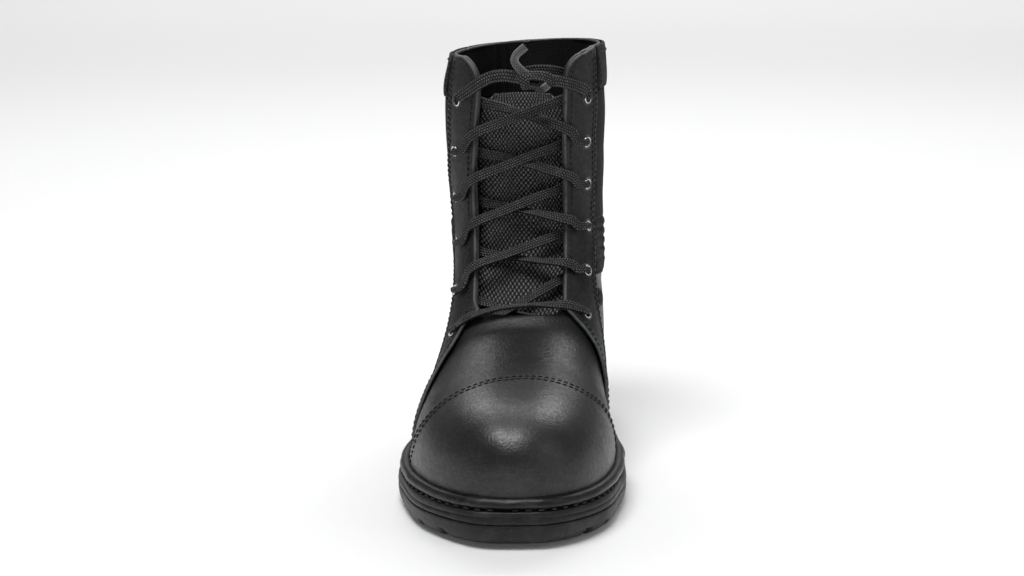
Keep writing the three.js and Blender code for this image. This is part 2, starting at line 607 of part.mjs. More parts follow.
// The front edges of the two eyestays, and their back edges below the instep, seen from the side.
// Heights and lengths are shares.
const FRONT_ROWS = [
  { height: 0.185, inner: 0.44, outer: 0.33 },
  { height: 0.38, inner: 0.45, outer: 0.34 },
  { height: 0.565, inner: 0.458, outer: 0.357 },
  { height: 0.61, inner: 0.461, outer: 0.378 },
  { height: 0.69, inner: 0.466, outer: 0.399 },
  { height: 0.78, inner: 0.47, outer: 0.426 },
  { height: 0.88, inner: 0.472, outer: 0.451 },
  { height: 1, inner: 0.477, outer: 0.477 },
  { height: 1.05, inner: 0.486, outer: 0.486 },
];
const BACK_ROWS = [
  { height: 0.13, inner: 0.545, outer: 0.44 },
  { height: 0.4, inner: 0.547, outer: 0.458 },
  { height: 0.63, inner: 0.55, outer: 0.485 },
  { height: 0.85, inner: 0.56, outer: 0.53 },
];
// Above the instep the back edges keep this far behind the eyelets' middles.
const EYESTAY_MARGIN = 8.5;
function backCurve(side) {
  const low = BACK_ROWS.map((row) => [heightOf(row.height), UPPER_LENGTH * row[sideName(side)]]);
  const high = eyelets
    .filter((place) => place.side === side && place.row > 0)
    .map((place) => [place.z, surfaceAt(place.x, place.z).point.y + EYESTAY_MARGIN]);
  return smoothCurve([...low, ...high]);
}
const backCurves = { 1: backCurve(1), [-1]: backCurve(-1) };
const backEdge = (z, side) => backCurves[side](z);
const [Z_LOW, Z_HIGH] = [0.15 * INSTEP_HEIGHT, 1.1 * SHAFT_HEIGHT];
const swap = (points) => points.map(([a, b]) => [b, a]);

// What lies ahead of the eyestays' back edges, moved back by gap.
const aheadOfBack = (gap) =>
  union([1, -1].map((side) =>
    across([
      [Y_BEFORE, Z_LOW],
      ...swap(sample((z) => backEdge(z, side) + gap, Z_LOW, Z_HIGH, 11)),
      [Y_BEFORE, Z_HIGH],
    ], Math.min(0, side * FAR), Math.max(0, side * FAR)),
  ));
const frontCut = (side) => {
  const line = columnOf(FRONT_ROWS, "height", sideName(side));
  const [low, high] = [heightOf(FRONT_ROWS[0].height), heightOf(FRONT_ROWS.at(-1).height)];
  const edge = swap(sample((z) => UPPER_LENGTH * line(shareOf(z)), low, high, 9));
  const [first, last] = [edge[0][0], edge.at(-1)[0]];
  return across([[Y_BEFORE, -FAR], [first, -FAR], ...edge, [last, high + 1], [Y_BEFORE, high + 1]]);
};
const overWelt = underLine((y) => weltTop(y) + GAP).add(
  soleLayer([[-LIP_ROLL, outsoleTop], [-LIP_ROLL, (y) => weltTop(y) + GAP]]),
);
const sewnLeather = cutAll(layer(GAP, GAP + LEATHER), [overWelt, throat(0)]).intersect(belowCollar(0));
const makeToeCap = () =>
  sewnLeather.intersect(
    upright([
      ...CAP_LINE.map(([x, y]) => [x * BALL_WIDTH, y * UPPER_LENGTH]).reverse(),
      [-FAR, 0], [-FAR, -FAR], [FAR, -FAR], [FAR, 0],
    ]),
  );
const makeEyestay = (side) => {
  const sheet = sewnLeather.intersect(halfSpace(side, 8)).intersect(aheadOfBack(0));
  return cutAll(sheet, [frontCut(side), ...eyeletHoles]);
};

// The collar's woven band, the ribbed ankle panels, the nylon between them and the backstay
const behindEyestays = (solid) => solid.subtract(aheadOfBack(2 * GAP));
const makeCollarBand = () =>
  behindEyestays(layer(GAP, GAP + WEBBING).intersect(belowCollar(0)).subtract(belowCollar(BAND_HEIGHT)));
const backstayColumn = (half) => {
  const [left, right] = [AXIS_SHIFT - half, AXIS_SHIFT + half];
  return upright([[left, MID_SHAFT], [right, MID_SHAFT], [right, FAR], [left, FAR]]);
};
const makeBackstay = () =>
  layer(GAP, GAP + LEATHER)
    .intersect(backstayColumn(BACKSTAY_HALF))
    .intersect(belowCollar(BAND_HEIGHT + GAP))
    .subtract(overWelt);

const ankleLine = (drop) => (y) =>
  ANKLE_PANEL_TOP - drop - ANKLE_SLOPE * (y - backEdge(ANKLE_PANEL_TOP, 1));
const stripe = (top, bottom) => underLine(ankleLine(top), 1).subtract(underLine(ankleLine(bottom), 1));
const sidePiece = (solid, side) =>
  behindEyestays(solid).intersect(halfSpace(side, 8)).subtract(backstayColumn(BACKSTAY_HALF + 2 * GAP));
function makeAnklePanel(side) {
  const pitch = ANKLE_PANEL_HEIGHT / (ANKLE_RIBS + 0.5);
  const sheet = layer(GAP, GAP + CLOTH).intersect(stripe(0, ANKLE_PANEL_HEIGHT));
  const raised = layer(GAP + CLOTH / 2, GAP + RIB);
  const ribs = range(ANKLE_RIBS).map((i) => stripe((i + 0.4) * pitch, (i + 1) * pitch));
  return sidePiece(sheet.add(raised.intersect(union(ribs))), side);
}
const makeShaftCloth = (side) =>
  sidePiece(
    layer(GAP, GAP + CLOTH)
      .intersect(belowCollar(BAND_HEIGHT + 2 * GAP))
      .subtract(underLine(ankleLine(-2 * GAP), 1)),
    side,
  );

// A flat lace through places [point, outward direction], with a plain flat section.
const LACE_STEPS = 8;
const SIX_SIDES = [[-1, 0], [-0.8, 1], [0.8, 1], [1, 0], [0.8, -1], [-0.8, -1]];
const EIGHT_SIDES = [
  [-1, -0.4], [-1, 0.4], [-0.85, 1], [0.85, 1], [1, 0.4], [1, -0.4], [0.85, -1], [-0.85, -1],
];
function ribbon(places, steps = LACE_STEPS, section = SIX_SIDES) {
  const route = new THREE.CatmullRomCurve3(places.map(([point]) => point), false, "centripetal");
  const rings = range(steps + 1).map((k) => {
    const t = k / steps;
    const along = route.getTangent(t);
    const at = t * (places.length - 1);
    const i = Math.min(Math.floor(at), places.length - 2);
    const out = places[i][1].clone().lerp(places[i + 1][1], at - i);
    const wide = along.clone().cross(out).normalize();
    const thick = wide.clone().cross(along).normalize();
    return section.map(([w, h]) =>
      route.getPoint(t)
        .addScaledVector(wide, (w * LACE_WIDTH) / 2)
        .addScaledVector(thick, (h * LACE_THICK) / 2),
    );
  });
  return ringSolid(rings);
}
const placeAt = (x, z, out) => {
  const { point, normal } = surfaceAt(x, z);
  return [point.addScaledVector(normal, out), normal];
};

// One strand of a crossing: over its own eyestay, across, and under the other one. The lowest two
// come from the ends of the bar, so they are under both.
const FIRST_RISES = [0.05, 0.15, 0.3];
const OTHER_RISES = [0.12, 0.32, 0.45];
function strand(row, side, dip) {
  const start = eyeletOf(row, side);
  const end = eyeletOf(row + 1, -side);
  const height = (share) => mix(start.z, end.z, share);
  const [first, second, third] = (row === 0 ? FIRST_RISES : OTHER_RISES).map(height);
  const under = -LACE_UNDER - 3 * GAP;
  const begin = row === 0 ? under : LACE_OVER;
  const near = throatEdge(third, side);
  const far = throatEdge(height(0.95), -side);
  const leave = placeAt(near - side * 2, third, begin);
  const arrive = placeAt(far + side, height(0.95), under);
  const between = (t) => {
    const out = leave[1].clone().lerp(arrive[1], t).normalize();
    return [leave[0].clone().lerp(arrive[0], t).addScaledVector(out, -dip), out];
  };
  return ribbon([
    placeAt(start.x - side * 5.5, first, begin),
    placeAt(near + side * 3, second, begin),
    leave,
    between(0.35),
    between(0.65),
    arrive,
    placeAt(far - side * 3, height(0.98), under),
    placeAt(end.x + side * 5.5, height(1), under),
  ]);
}
const makeCrossing = (row) => strand(row, -1, 0).add(strand(row, 1, LACE_DIP));

// The bar over the vamp's edge between the two lowest eyelets
const BAR_RISE = 9; // how far its middle stands above its ends
function makeBar() {
  const [outer, inner] = [eyeletOf(0, -1), eyeletOf(0, 1)];
  const height = (share) => mix(outer.z, inner.z, share) + BAR_RISE * Math.sin(Math.PI * share) ** 0.6;
  const near = throatEdge(height(0.2), -1);
  const far = throatEdge(height(0.8), 1);
  const onVamp = 2 * GAP + LACE_THICK / 2;
  return ribbon([
    placeAt(outer.x + 5, height(0.07), LACE_OVER),
    placeAt(near, height(0.2), LACE_OVER),
    placeAt(0.4 * near, height(0.4), onVamp + 1),
    placeAt(0.4 * far, height(0.6), onVamp + 1),
    placeAt(far, height(0.8), LACE_OVER),
    placeAt(inner.x - 5, height(0.93), LACE_OVER),
  ]);
}

// The lace's two ends lie free: each runs from a top eyelet to the knot, and from the knot to its
// tip. Their points were chosen one by one, counted from the part's origin.
const OUTER_TIE = [
  [-34.3, 30.5, 200.6], [-32.7, 27.8, 202.8], [-29.9, 25.3, 204.8], [-26.2, 22.8, 206.9],
  [-22.2, 20.2, 209.2], [-17.6, 18, 211.3], [-12.6, 16.4, 212.8], [-7.2, 15.3, 213.3],
  [-3, 14.7, 212.9], [0.9, 14.1, 212.2],
];
const OUTER_END = [
  [5.6, 10.6, 214.2], [3.4, 11.2, 216.2], [1, 12.4, 218.6], [-0.4, 13.8, 221.2], [0.5, 15.2, 224],
  [3.2, 16.4, 226.6], [5.4, 17.2, 228.4],
];
const INNER_TIE = [
  [41.2, 33.2, 201.6], [39.6, 31, 204], [37.2, 28.2, 206.2], [33.8, 25.2, 208.2], [30, 22.4, 209.8],
  [26, 19.8, 210.8], [22.6, 17.8, 211], [18.9, 15.9, 210.6],
];
const INNER_END = [
  [4.2, 19.5, 214.2], [8.2, 20.3, 215], [12.6, 21.7, 215.3], [17, 23.5, 215], [21.4, 26, 214.1],
  [25.4, 29.1, 212.6], [28.6, 32.8, 210.4], [30.6, 37, 207.6],
];
const CORD_STEPS = 10;
const LEG_MIDDLE = 68; // the laces' flat sides look away from this line up the shaft
function cord(points) {
  const places = points.map(([x, y, z]) => {
    const place = new THREE.Vector3(x + ORIGIN[0], y + ORIGIN[1], z);
    return [place, new THREE.Vector3(x, y - LEG_MIDDLE, 0).normalize()];
  });
  return ribbon(places, CORD_STEPS, EIGHT_SIDES);
}

// The knot between them, a small lump: across, half its depth and half its height
const KNOT_MIDDLE = [10.4, 14.8, 210.9];
const KNOT_ROWS = [
  { across: -8, deep: 1.8, tall: 3.4 },
  { across: -5.5, deep: 3.6, tall: 4.6 },
  { across: 0, deep: 4.4, tall: 5.4 },
  { across: 5.5, deep: 3.6, tall: 4.8 },
  { across: 8, deep: 1.8, tall: 3.6 },
];
const KNOT_SIDES = 10;
function makeKnot() {
  const [x, y, z] = KNOT_MIDDLE;
  const middle = new THREE.Vector3(x + ORIGIN[0], y + ORIGIN[1], z);
  return ringSolid(KNOT_ROWS.map((row) =>
    range(KNOT_SIDES).map((i) => {
      const turn = (2 * Math.PI * i) / KNOT_SIDES;
      const spot = new THREE.Vector3(row.across, row.deep * Math.cos(turn), row.tall * Math.sin(turn));
      return spot.add(middle);
    }),
  ));
}

// Every piece and its look
const LOOKS = {
  leather: { color: 0x1d1e20, roughness: 0.5, metalness: 0 },
  nylon: { color: 0x18191b, roughness: 0.9, metalness: 0 },
  rubber: { color: 0x161617, roughness: 0.7, metalness: 0 },
  lining: { color: 0x131314, roughness: 0.85, metalness: 0 },
  nickel: { color: 0xc9cbcd, roughness: 0.3, metalness: 1 },
};
const boot = new THREE.Group();
function add(name, solid, look) {
  const geometry = geometryOf(solid).translate(-ORIGIN[0], -ORIGIN[1], 0);
  const mesh = new THREE.Mesh(geometry, new THREE.MeshStandardMaterial(LOOKS[look]));
  mesh.name = name;
  boot.add(mesh);
}
add("outsole", makeOutsole(), "rubber");
add("midsole", makeMidsole(), "rubber");
add("welt", makeWelt(), "rubber");
add("insole", makeInsole(), "lining");
add("upper", makeUpper(), "leather");
add("tongue", makeTongue(), "nylon");
add("toe_cap", makeToeCap(), "leather");
add("backstay", makeBackstay(), "leather");
add("collar_band", makeCollarBand(), "nylon");
for (const side of [1, -1]) {
  add(`eyestay_${sideName(side)}`, makeEyestay(side), "leather");
  add(`ankle_panel_${sideName(side)}`, makeAnklePanel(side), "nylon");
  add(`shaft_cloth_${sideName(side)}`, makeShaftCloth(side), "nylon");
}
for (const place of eyelets) {
  add(`eyelet_${sideName(place.side)}_${place.row + 1}`, makeEyelet(place), "nickel");
}
add("lace_bar", makeBar(), "nylon");
for (const row of range(EYELET_ROWS - 1)) add(`lace_cross_${row + 1}`, makeCrossing(row), "nylon");
add("lace_tie_outer", cord(OUTER_TIE), "nylon");
add("lace_tie_inner", cord(INNER_TIE), "nylon");
add("lace_end_outer", cord(OUTER_END), "nylon");
add("lace_end_inner", cord(INNER_END), "nylon");
add("lace_knot", makeKnot(), "nylon");

export default boot;
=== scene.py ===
"""A black combat boot for the right foot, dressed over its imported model, with camera, light and floor."""

import math

import bpy
import numpy as np
from mathutils import Matrix, Vector


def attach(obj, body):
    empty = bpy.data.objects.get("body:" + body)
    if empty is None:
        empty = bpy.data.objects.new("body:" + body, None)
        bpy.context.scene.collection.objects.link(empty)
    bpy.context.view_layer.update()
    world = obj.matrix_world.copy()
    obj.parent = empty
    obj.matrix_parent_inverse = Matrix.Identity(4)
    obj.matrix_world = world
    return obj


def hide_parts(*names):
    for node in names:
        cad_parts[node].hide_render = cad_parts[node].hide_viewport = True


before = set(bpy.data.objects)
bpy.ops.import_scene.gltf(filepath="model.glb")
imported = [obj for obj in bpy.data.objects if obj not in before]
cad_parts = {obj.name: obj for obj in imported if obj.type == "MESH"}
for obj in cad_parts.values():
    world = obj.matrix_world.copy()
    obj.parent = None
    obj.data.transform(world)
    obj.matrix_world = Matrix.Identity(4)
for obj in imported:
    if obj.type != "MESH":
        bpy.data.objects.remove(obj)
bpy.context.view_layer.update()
MM = 0.001

# Driving sizes of the last, in millimetres, as in the part's source
UPPER_LENGTH = 291
BALL_WIDTH = 105
INSTEP_HEIGHT = 81
SHAFT_HEIGHT = 221
SHAFT_WIDTH = 88
SHAFT_DEPTH = 120
TOE_SPRING = 2.5
HEEL_RISE = 14
ARCH = 9.5
GAP = 0.3
WALL = 2.4
LEATHER = 1.5
CLOTH = 0.8
WEBBING = 1.7
OUTSOLE = 10
MIDSOLE = 6.7
WELT_LIP = 4.6
WELT_GROOVE = 1.3
GROOVE_DEPTH = 1.4
LIP_ROLL = 3.2
WELT_WIDTH = 8
TONGUE = 3
TONGUE_DROP = 7
TONGUE_SAG = 6
THROAT_FLOOR = 87
COLLAR_DIP = 3
COLLAR_TILT = 3.6
COLLAR_CORNER = {"inner": 13, "outer": 17}
BAND_HEIGHT = 24
ANKLE_PANEL_TOP = 130
ANKLE_PANEL_HEIGHT = 31
ANKLE_SLOPE = 0.13
ANKLE_RIBS = 5
BACKSTAY_HALF = 10
EYELET_ROWS = 6
EYELET_INSET = 11.3
EYELET_SKEW = 9
EYELET_SPREAD = {"inner": 1.06, "outer": 1.18}
EYESTAY_MARGIN = 8.5
LACE_WIDTH = 7.2
LACE_THICK = 1.8
LUG_DEPTH = 4.2
LUG_GROOVE = 4.4
LUG_PITCH = 15.5
LUG_CHEVRON = 7
SPINE_GROOVE = 5
HEEL_BREAST = 0.7

# The photo's camera: its place in metres, and its angles in radians
CAMERA_AT = (0.0677, -1.1657, 0.3417)
CAMERA_DOWN = 0.2049
CAMERA_ROLL = -0.0019
CAMERA_TURN = -0.0081
PHOTO_WIDTH_PX = 1024
PHOTO_FOCAL_PX = 2198
BOOT_MIDDLE_PX = 400
SENSOR = 36
CLIP_START = 0.05


def aim_camera():
    """The photo's camera at its own place, with its picture moved so that the one boot is in the middle."""
    ahead = Vector(
        (
            math.sin(CAMERA_TURN) * math.cos(CAMERA_DOWN),
            math.cos(CAMERA_TURN) * math.cos(CAMERA_DOWN),
            -math.sin(CAMERA_DOWN),
        )
    )
    right = Vector((math.cos(CAMERA_TURN), -math.sin(CAMERA_TURN), 0))
    above = right.cross(ahead)
    rolled_right = math.cos(CAMERA_ROLL) * right + math.sin(CAMERA_ROLL) * above
    rolled_above = rolled_right.cross(ahead)
    data = bpy.data.cameras.new("camera")
    data.sensor_width = SENSOR
    data.lens = SENSOR * PHOTO_FOCAL_PX / PHOTO_WIDTH_PX
    data.shift_x = (BOOT_MIDDLE_PX - PHOTO_WIDTH_PX / 2) / PHOTO_WIDTH_PX
    data.clip_start = CLIP_START
    camera = bpy.data.objects.new("camera", data)
    columns = (rolled_right, rolled_above, -ahead)
    turned = Matrix([[column[row] for column in columns] for row in range(3)]).to_4x4()
    camera.matrix_world = Matrix.Translation(CAMERA_AT) @ turned
    bpy.context.collection.objects.link(camera)
    bpy.context.scene.camera = camera


aim_camera()

# Helpers for lines and vectors


def unit(vectors):
    return vectors / np.linalg.norm(vectors, axis=-1, keepdims=True)


def lengths_along(line):
    """The length of a line of points up to each of them."""
    return np.concatenate([[0], np.cumsum(np.linalg.norm(np.diff(line, axis=0), axis=1))])


def pick(at, run, values):
    """Points or vectors at lengths along a line, between the ones known at the lengths run."""
    return np.stack([np.interp(at, run, values[:, k]) for k in range(3)], axis=-1)


def without_repeats(face):
    return [v for k, v in enumerate(face) if v != face[k - 1]]


def curve(points):
    """A smooth curve through [x, value] points that never swings past them."""
    xs, vs = np.array(points, float).T
    rise = np.diff(vs) / np.diff(xs)
    slope = np.zeros_like(vs)
    slope[0], slope[-1] = rise[0], rise[-1]
    both = rise[:-1] * rise[1:]
    turning = both <= 0
    total = np.where(turning, 1, rise[:-1] + rise[1:])
    slope[1:-1] = np.where(turning, 0, 2 * both / total)

    def at(x):
        x = np.clip(np.asarray(x, float), xs[0], xs[-1])
        i = np.clip(np.searchsorted(xs, x, side="right") - 1, 0, len(xs) - 2)
        step = xs[i + 1] - xs[i]
        t = (x - xs[i]) / step
        start = 2 * t**3 - 3 * t**2 + 1
        leave = t**3 - 2 * t**2 + t
        arrive = t**3 - t**2
        ends = start * vs[i] + (1 - start) * vs[i + 1]
        return ends + step * (leave * slope[i] + arrive * slope[i + 1])

    return at


# The last as a function


def height_of(share):
    """A height from a share of INSTEP_HEIGHT, or above 1 of what the shaft adds to it."""
    share = np.asarray(share, float)
    above = INSTEP_HEIGHT + (SHAFT_HEIGHT - INSTEP_HEIGHT) * (share - 1)
    return np.where(share <= 1, share * INSTEP_HEIGHT, above)


# Side view of the sole: length as a share, then shares of TOE_SPRING, HEEL_RISE and ARCH
SOLE_ROWS = [
    (0, 1, 0, 0),
    (0.05, 0.7, 0, 0),
    (0.1, 0.44, 0, 0),
    (0.17, 0.17, 0, 0),
    (0.25, 0.02, 0, 0),
    (0.29, 0, 0, 0),
    (0.4, 0, 0, 0),
    (0.48, 0, 0.09, 0.3),
    (0.56, 0, 0.3, 0.68),
    (0.64, 0, 0.58, 0.96),
    (HEEL_BREAST - 0.012, 0, 0.76, 1),
    (HEEL_BREAST, 0, 0.79, 0),
    (0.8, 0, 0.99, 0),
    (0.84, 0, 1, 0),
    (1, 0, 1, 0),
]
spring_share, rise_share, arch_share = (
    curve([(row[0], row[k]) for row in SOLE_ROWS]) for k in (1, 2, 3)
)


def spring_at(y):
    return TOE_SPRING * spring_share(y / UPPER_LENGTH)


def tread(y):
    return spring_at(y) + ARCH * arch_share(y / UPPER_LENGTH)


def sole_top(y):
    return OUTSOLE + MIDSOLE + GAP + spring_at(y) + HEEL_RISE * rise_share(y / UPPER_LENGTH)


def welt_top(y):
    return sole_top(y) + WELT_GROOVE + WELT_LIP


# Sections from toe to collar: low and high as shares of the length, back and front as shares of the
# height, inner and outer half widths, widest place, and squareness below and above it
SECTIONS = [
    (0.0, 0.0, None, 0.457, 0.0, 0.0, 0.45, 4.2, 2.5),
    (0.007, 0.007, None, 0.549, 0.24, 0.21, 0.43, 4.2, 2.5),
    (0.022, 0.022, None, 0.631, 0.41, 0.365, 0.41, 4.2, 2.5),
    (0.052, 0.052, None, 0.712, 0.6, 0.545, 0.4, 4.2, 2.45),
    (0.1, 0.1, None, 0.772, 0.775, 0.725, 0.38, 4.2, 2.4),
    (0.168, 0.168, None, 0.81, 0.9, 0.885, 0.37, 4.2, 2.35),
    (0.24, 0.24, None, 0.837, 0.96, 0.985, 0.36, 4.2, 2.3),
    (0.316, 0.316, None, 0.875, 0.965, 1.035, 0.35, 4.1, 2.25),
    (0.388, 0.385, None, 0.935, 0.925, 1.015, 0.36, 3.9, 2.25),
    (0.46, 0.447, None, 1.01, 0.87, 0.96, 0.38, 3.6, 2.3),
    (0.535, 0.498, None, 1.095, 0.84, 0.91, 0.4, 3.4, 2.4),
    (0.625, 0.54, None, 1.2, 0.84, 0.88, 0.42, 3.3, 2.5),
    (0.73, 0.568, None, 1.31, 0.885, 0.87, 0.43, 3.5, 2.55),
    (0.85, 0.582, None, 1.42, 0.9, 0.87, 0.44, 3.7, 2.6),
    (0.965, 0.586, None, 1.52, 0.9, 0.89, 0.46, 2.7, 2.6),
    (1.0, 0.587, 0.56, 1.61, 0.92, 0.92, 0.48, 2.3, 2.65),
    (0.992, 0.587, 0.87, 1.69, 0.935, 0.945, 0.5, 2.25, 2.65),
    (0.973, 0.586, 1.13, 1.77, 0.95, 0.965, 0.52, 2.2, 2.7),
    (0.96, 0.584, 1.37, 1.85, 0.965, 0.97, 0.52, 2.2, 2.7),
    (0.959, 0.581, 1.63, 1.93, 0.975, 0.965, 0.52, 2.2, 2.7),
    (0.966, 0.578, 1.89, 2.02, 0.97, 0.91, 0.52, 2.2, 2.7),
    (0.975, 0.574, 2.17, 2.13, 0.96, 0.87, 0.52, 2.2, 2.7),
]
LAST_ROW = len(SECTIONS) - 1
SINK = 19.5
AXIS_SHIFT = 2.8
BALL_SHIFT = -1.5
RIDGE_LEAN = 3.5
SHAFT_REAR = 0.966
SHAFT_FRONT = 0.578
low_at, high_at, front_at, inner_at, outer_at, wide_at, soft_at, round_at = (
    curve([(u, row[k]) for u, row in enumerate(SECTIONS)]) for k in (0, 1, 3, 4, 5, 6, 7, 8)
)
low_height = curve(
    [
        (u, sole_top(row[0] * UPPER_LENGTH) - SINK if row[2] is None else height_of(row[2]))
        for u, row in enumerate(SECTIONS)
    ]
)
leg_share = curve([(9, 0), (10, 0.1), (11, 0.25), (12, 0.4), (13, 0.6), (15, 0.85), (17, 1)])
shift_share = curve([(0, -1.9), (3, -0.7), (6, 1), (9, 0.8), (13, 0.1), (15, 0), (LAST_ROW, 0)])
lean_share = curve([(0, 0), (4, 0.2), (8, 0.9), (10, 1), (14, 0.35), (18, 0), (LAST_ROW, 0)])
TIP_SLOPE = 0.16
TIP_ROUND = 5
TIP_REACH = 22
SECTION_POINTS = 181  # points that measure the length of a section's side
TIP_ROWS = 1e-6  # sections up to here are the toe's tip


def last_point(u, turn, side):
    """Points of the last: u from toe to collar, turn from the low end (0) to the high end (pi)."""
    leg = leg_share(u)
    y_low = low_at(u) * UPPER_LENGTH
    deep = (SHAFT_REAR - high_at(u)) / (SHAFT_REAR - SHAFT_FRONT)
    y_foot = high_at(u) * UPPER_LENGTH
    y_high = y_foot + leg * (SHAFT_REAR * UPPER_LENGTH - deep * SHAFT_DEPTH - y_foot)
    half = (BALL_WIDTH + leg * (SHAFT_WIDTH - BALL_WIDTH)) / 2
    half = half * np.where(side > 0, inner_at(u), outer_at(u))
    wide = wide_at(u)
    below = turn < math.pi / 2
    power = 2 / np.where(below, soft_at(u), round_at(u))
    along = np.abs(np.cos(turn)) ** power
    s = np.where(below, wide * (1 - along), wide + (1 - wide) * along)
    middle = AXIS_SHIFT + BALL_SHIFT * shift_share(u) + RIDGE_LEAN * lean_share(u) * s
    out = half * np.clip(np.sin(turn), 0, None) ** power
    tip = TIP_SLOPE * (np.hypot(out, TIP_ROUND) - out) * np.exp(-((out / TIP_REACH) ** 2) - u / 2)
    y = y_low + (y_high - y_low) * s + tip
    z = low_height(u) + (height_of(front_at(u)) - low_height(u)) * s
    return np.stack([middle + side * out, y, z], axis=-1)


def spread(u, shares):
    """Turns at these shares of the section's length, on either side, for one section u."""
    turns = np.linspace(0, math.pi, SECTION_POINTS)
    found = {}
    for side in (1, -1):
        line = last_point(np.full_like(turns, u), turns, np.full_like(turns, side))
        run = lengths_along(line)
        found[side] = np.interp(shares * run[-1], run, turns)
    return found


class Skin:
    """A grid on the last. Rows are sections, and columns run round it: 0 is the ridge of the instep
    or the shin, 1 the inner side's low end or the back, and -1 and 2 follow round from there."""

    def __init__(self, us, ws, out=0.0, relief=None):
        us, ws = np.asarray(us, float), np.asarray(ws, float)
        round_w = (ws + 1) % 2 - 1
        round_w[np.isclose(ws, 1)] = 1
        side = np.where(round_w >= 0, 1.0, -1.0)
        rows = []
        for u in us:
            turns = spread(u, 1 - np.abs(round_w))
            turn = np.where(side > 0, turns[1], turns[-1])
            rows.append(last_point(np.full_like(turn, u), turn, side))
        self.base = np.array(rows)
        tip = us < TIP_ROWS
        self.normal = skin_normals(self.base, tip)
        lift = np.full(self.base.shape[:2], float(out))
        if relief is not None:
            lift = lift + relief(self.base)
        self.points = self.base + self.normal * lift[..., None]
        if relief is not None:
            self.normal = skin_normals(self.points, tip)
        across = np.linalg.norm(np.diff(self.base, axis=1), axis=2).mean(axis=0)
        down = np.linalg.norm(np.diff(self.base, axis=0), axis=2).mean(axis=1)
        run = np.concatenate([[0], np.cumsum(across)])
        rise = np.concatenate([[0], np.cumsum(down)])
        self.flat = np.stack(np.broadcast_arrays(run[None, :], rise[:, None], 0.0), axis=-1).copy()


def grid_normals(points):
    along = np.gradient(points, axis=0)
    around = np.gradient(points, axis=1)
    normal = np.cross(around, along)
    length = np.linalg.norm(normal, axis=2, keepdims=True)
    return normal / np.maximum(length, 1e-9)


def skin_normals(points, tip):
    """Normals of a grid on the last, level across in the rows at the toe's tip."""
    normal = grid_normals(points)
    normal[tip, :, 0] = 0
    return unit(normal)


# A denser net of the front, for finding places by x and z: only what looks to the front counts
FRONT_FROM_ROW = 6
FRONT_HALF = 0.7
FRONT_POINTS = 420
FRONT = Skin(
    np.linspace(FRONT_FROM_ROW, LAST_ROW, FRONT_POINTS), np.linspace(-FRONT_HALF, FRONT_HALF, FRONT_POINTS)
)
FACES_AHEAD = FRONT.normal[..., 1].ravel() < 0.02
STEEP = 0.25  # where the normal's y is less than this, a place is found along the surface
FRONT_BASE = FRONT.base.reshape(-1, 3)[FACES_AHEAD]
FRONT_NORMAL = FRONT.normal.reshape(-1, 3)[FACES_AHEAD]


def spot(x, z, out=0.0):
    """A point on the front of the last by x and z, moved out, and the outward normal there."""
    k = int(np.argmin(np.hypot(FRONT_BASE[:, 0] - x, FRONT_BASE[:, 2] - z)))
    base = FRONT_BASE[k]
    normal = FRONT_NORMAL[k]
    gap = np.array([x - base[0], 0, z - base[2]])
    slide = gap - normal * gap.dot(normal)
    point = base + np.array([gap[0], -(gap[0] * normal[0] + gap[2] * normal[2]) / normal[1], gap[2]])
    if abs(normal[1]) < STEEP:
        point = base + slide
    return point + normal * out, normal


# The lines that pieces end on. Each is a field: how far a point lies inside it, in millimetres.

collar_front = SHAFT_HEIGHT + COLLAR_DIP
collar_line = curve(
    [
        (0, collar_front),
        (SHAFT_REAR * UPPER_LENGTH - 0.8 * SHAFT_DEPTH, collar_front),
        (SHAFT_REAR * UPPER_LENGTH - 0.4 * SHAFT_DEPTH, SHAFT_HEIGHT + 0.4 * COLLAR_DIP),
        (SHAFT_REAR * UPPER_LENGTH, SHAFT_HEIGHT),
    ]
)
MID_SHAFT = SHAFT_REAR * UPPER_LENGTH - 0.5 * SHAFT_DEPTH


def below_collar(p, drop=0.0):
    tilt = math.radians(COLLAR_TILT)
    x, z = p[..., 0], p[..., 2] - SHAFT_HEIGHT
    level = z * math.cos(tilt) - x * math.sin(tilt) + SHAFT_HEIGHT
    return collar_line(p[..., 1]) - drop - level


FAR = 99  # a distance that keeps a line from cutting anything there
THROAT_ROUND = 5.0  # rounding of the throat's two lower corners
# The throat's edges: share of the way up, and distances from the middle on the inner and outer side
THROAT_ROWS = [
    (0, 25.6, 21.8),
    (0.25, 25.4, 21.9),
    (0.45, 25.1, 22.6),
    (0.65, 25.1, 21.8),
    (0.82, 25.8, 19.8),
    (1, 26.2, 17.5),
]
throat_inner, throat_outer = (curve([(row[0], row[k]) for row in THROAT_ROWS]) for k in (1, 2))


def side_name(side):
    return "inner" if side > 0 else "outer"


def throat_edge(z, side):
    rise = np.clip((z - THROAT_FLOOR) / (collar_front - THROAT_FLOOR), 0, 1)
    return np.where(np.asarray(side) > 0, throat_inner(rise), -throat_outer(rise))


def outside_throat(p):
    """How far a point lies outside the throat's opening."""
    x, y, z = p[..., 0], p[..., 1], p[..., 2]
    side = np.where(x > 0, 1.0, -1.0)
    size = np.where(x > 0, COLLAR_CORNER["inner"], COLLAR_CORNER["outer"])
    corner = collar_front - size
    edge = np.abs(throat_edge(np.minimum(z, corner), side))
    rise = np.clip(z - corner, 0, size)
    flare = size - np.sqrt(np.maximum(size**2 - rise**2, 0))
    away = np.abs(x) - edge - flare
    under = THROAT_FLOOR - z
    dx, dz = away + THROAT_ROUND, under + THROAT_ROUND
    corner_far = np.hypot(np.maximum(dx, 0), np.maximum(dz, 0)) - THROAT_ROUND
    inside_both = np.minimum(np.maximum(dx, dz), 0)
    field = corner_far + inside_both
    return np.where(y < MID_SHAFT, field, FAR)


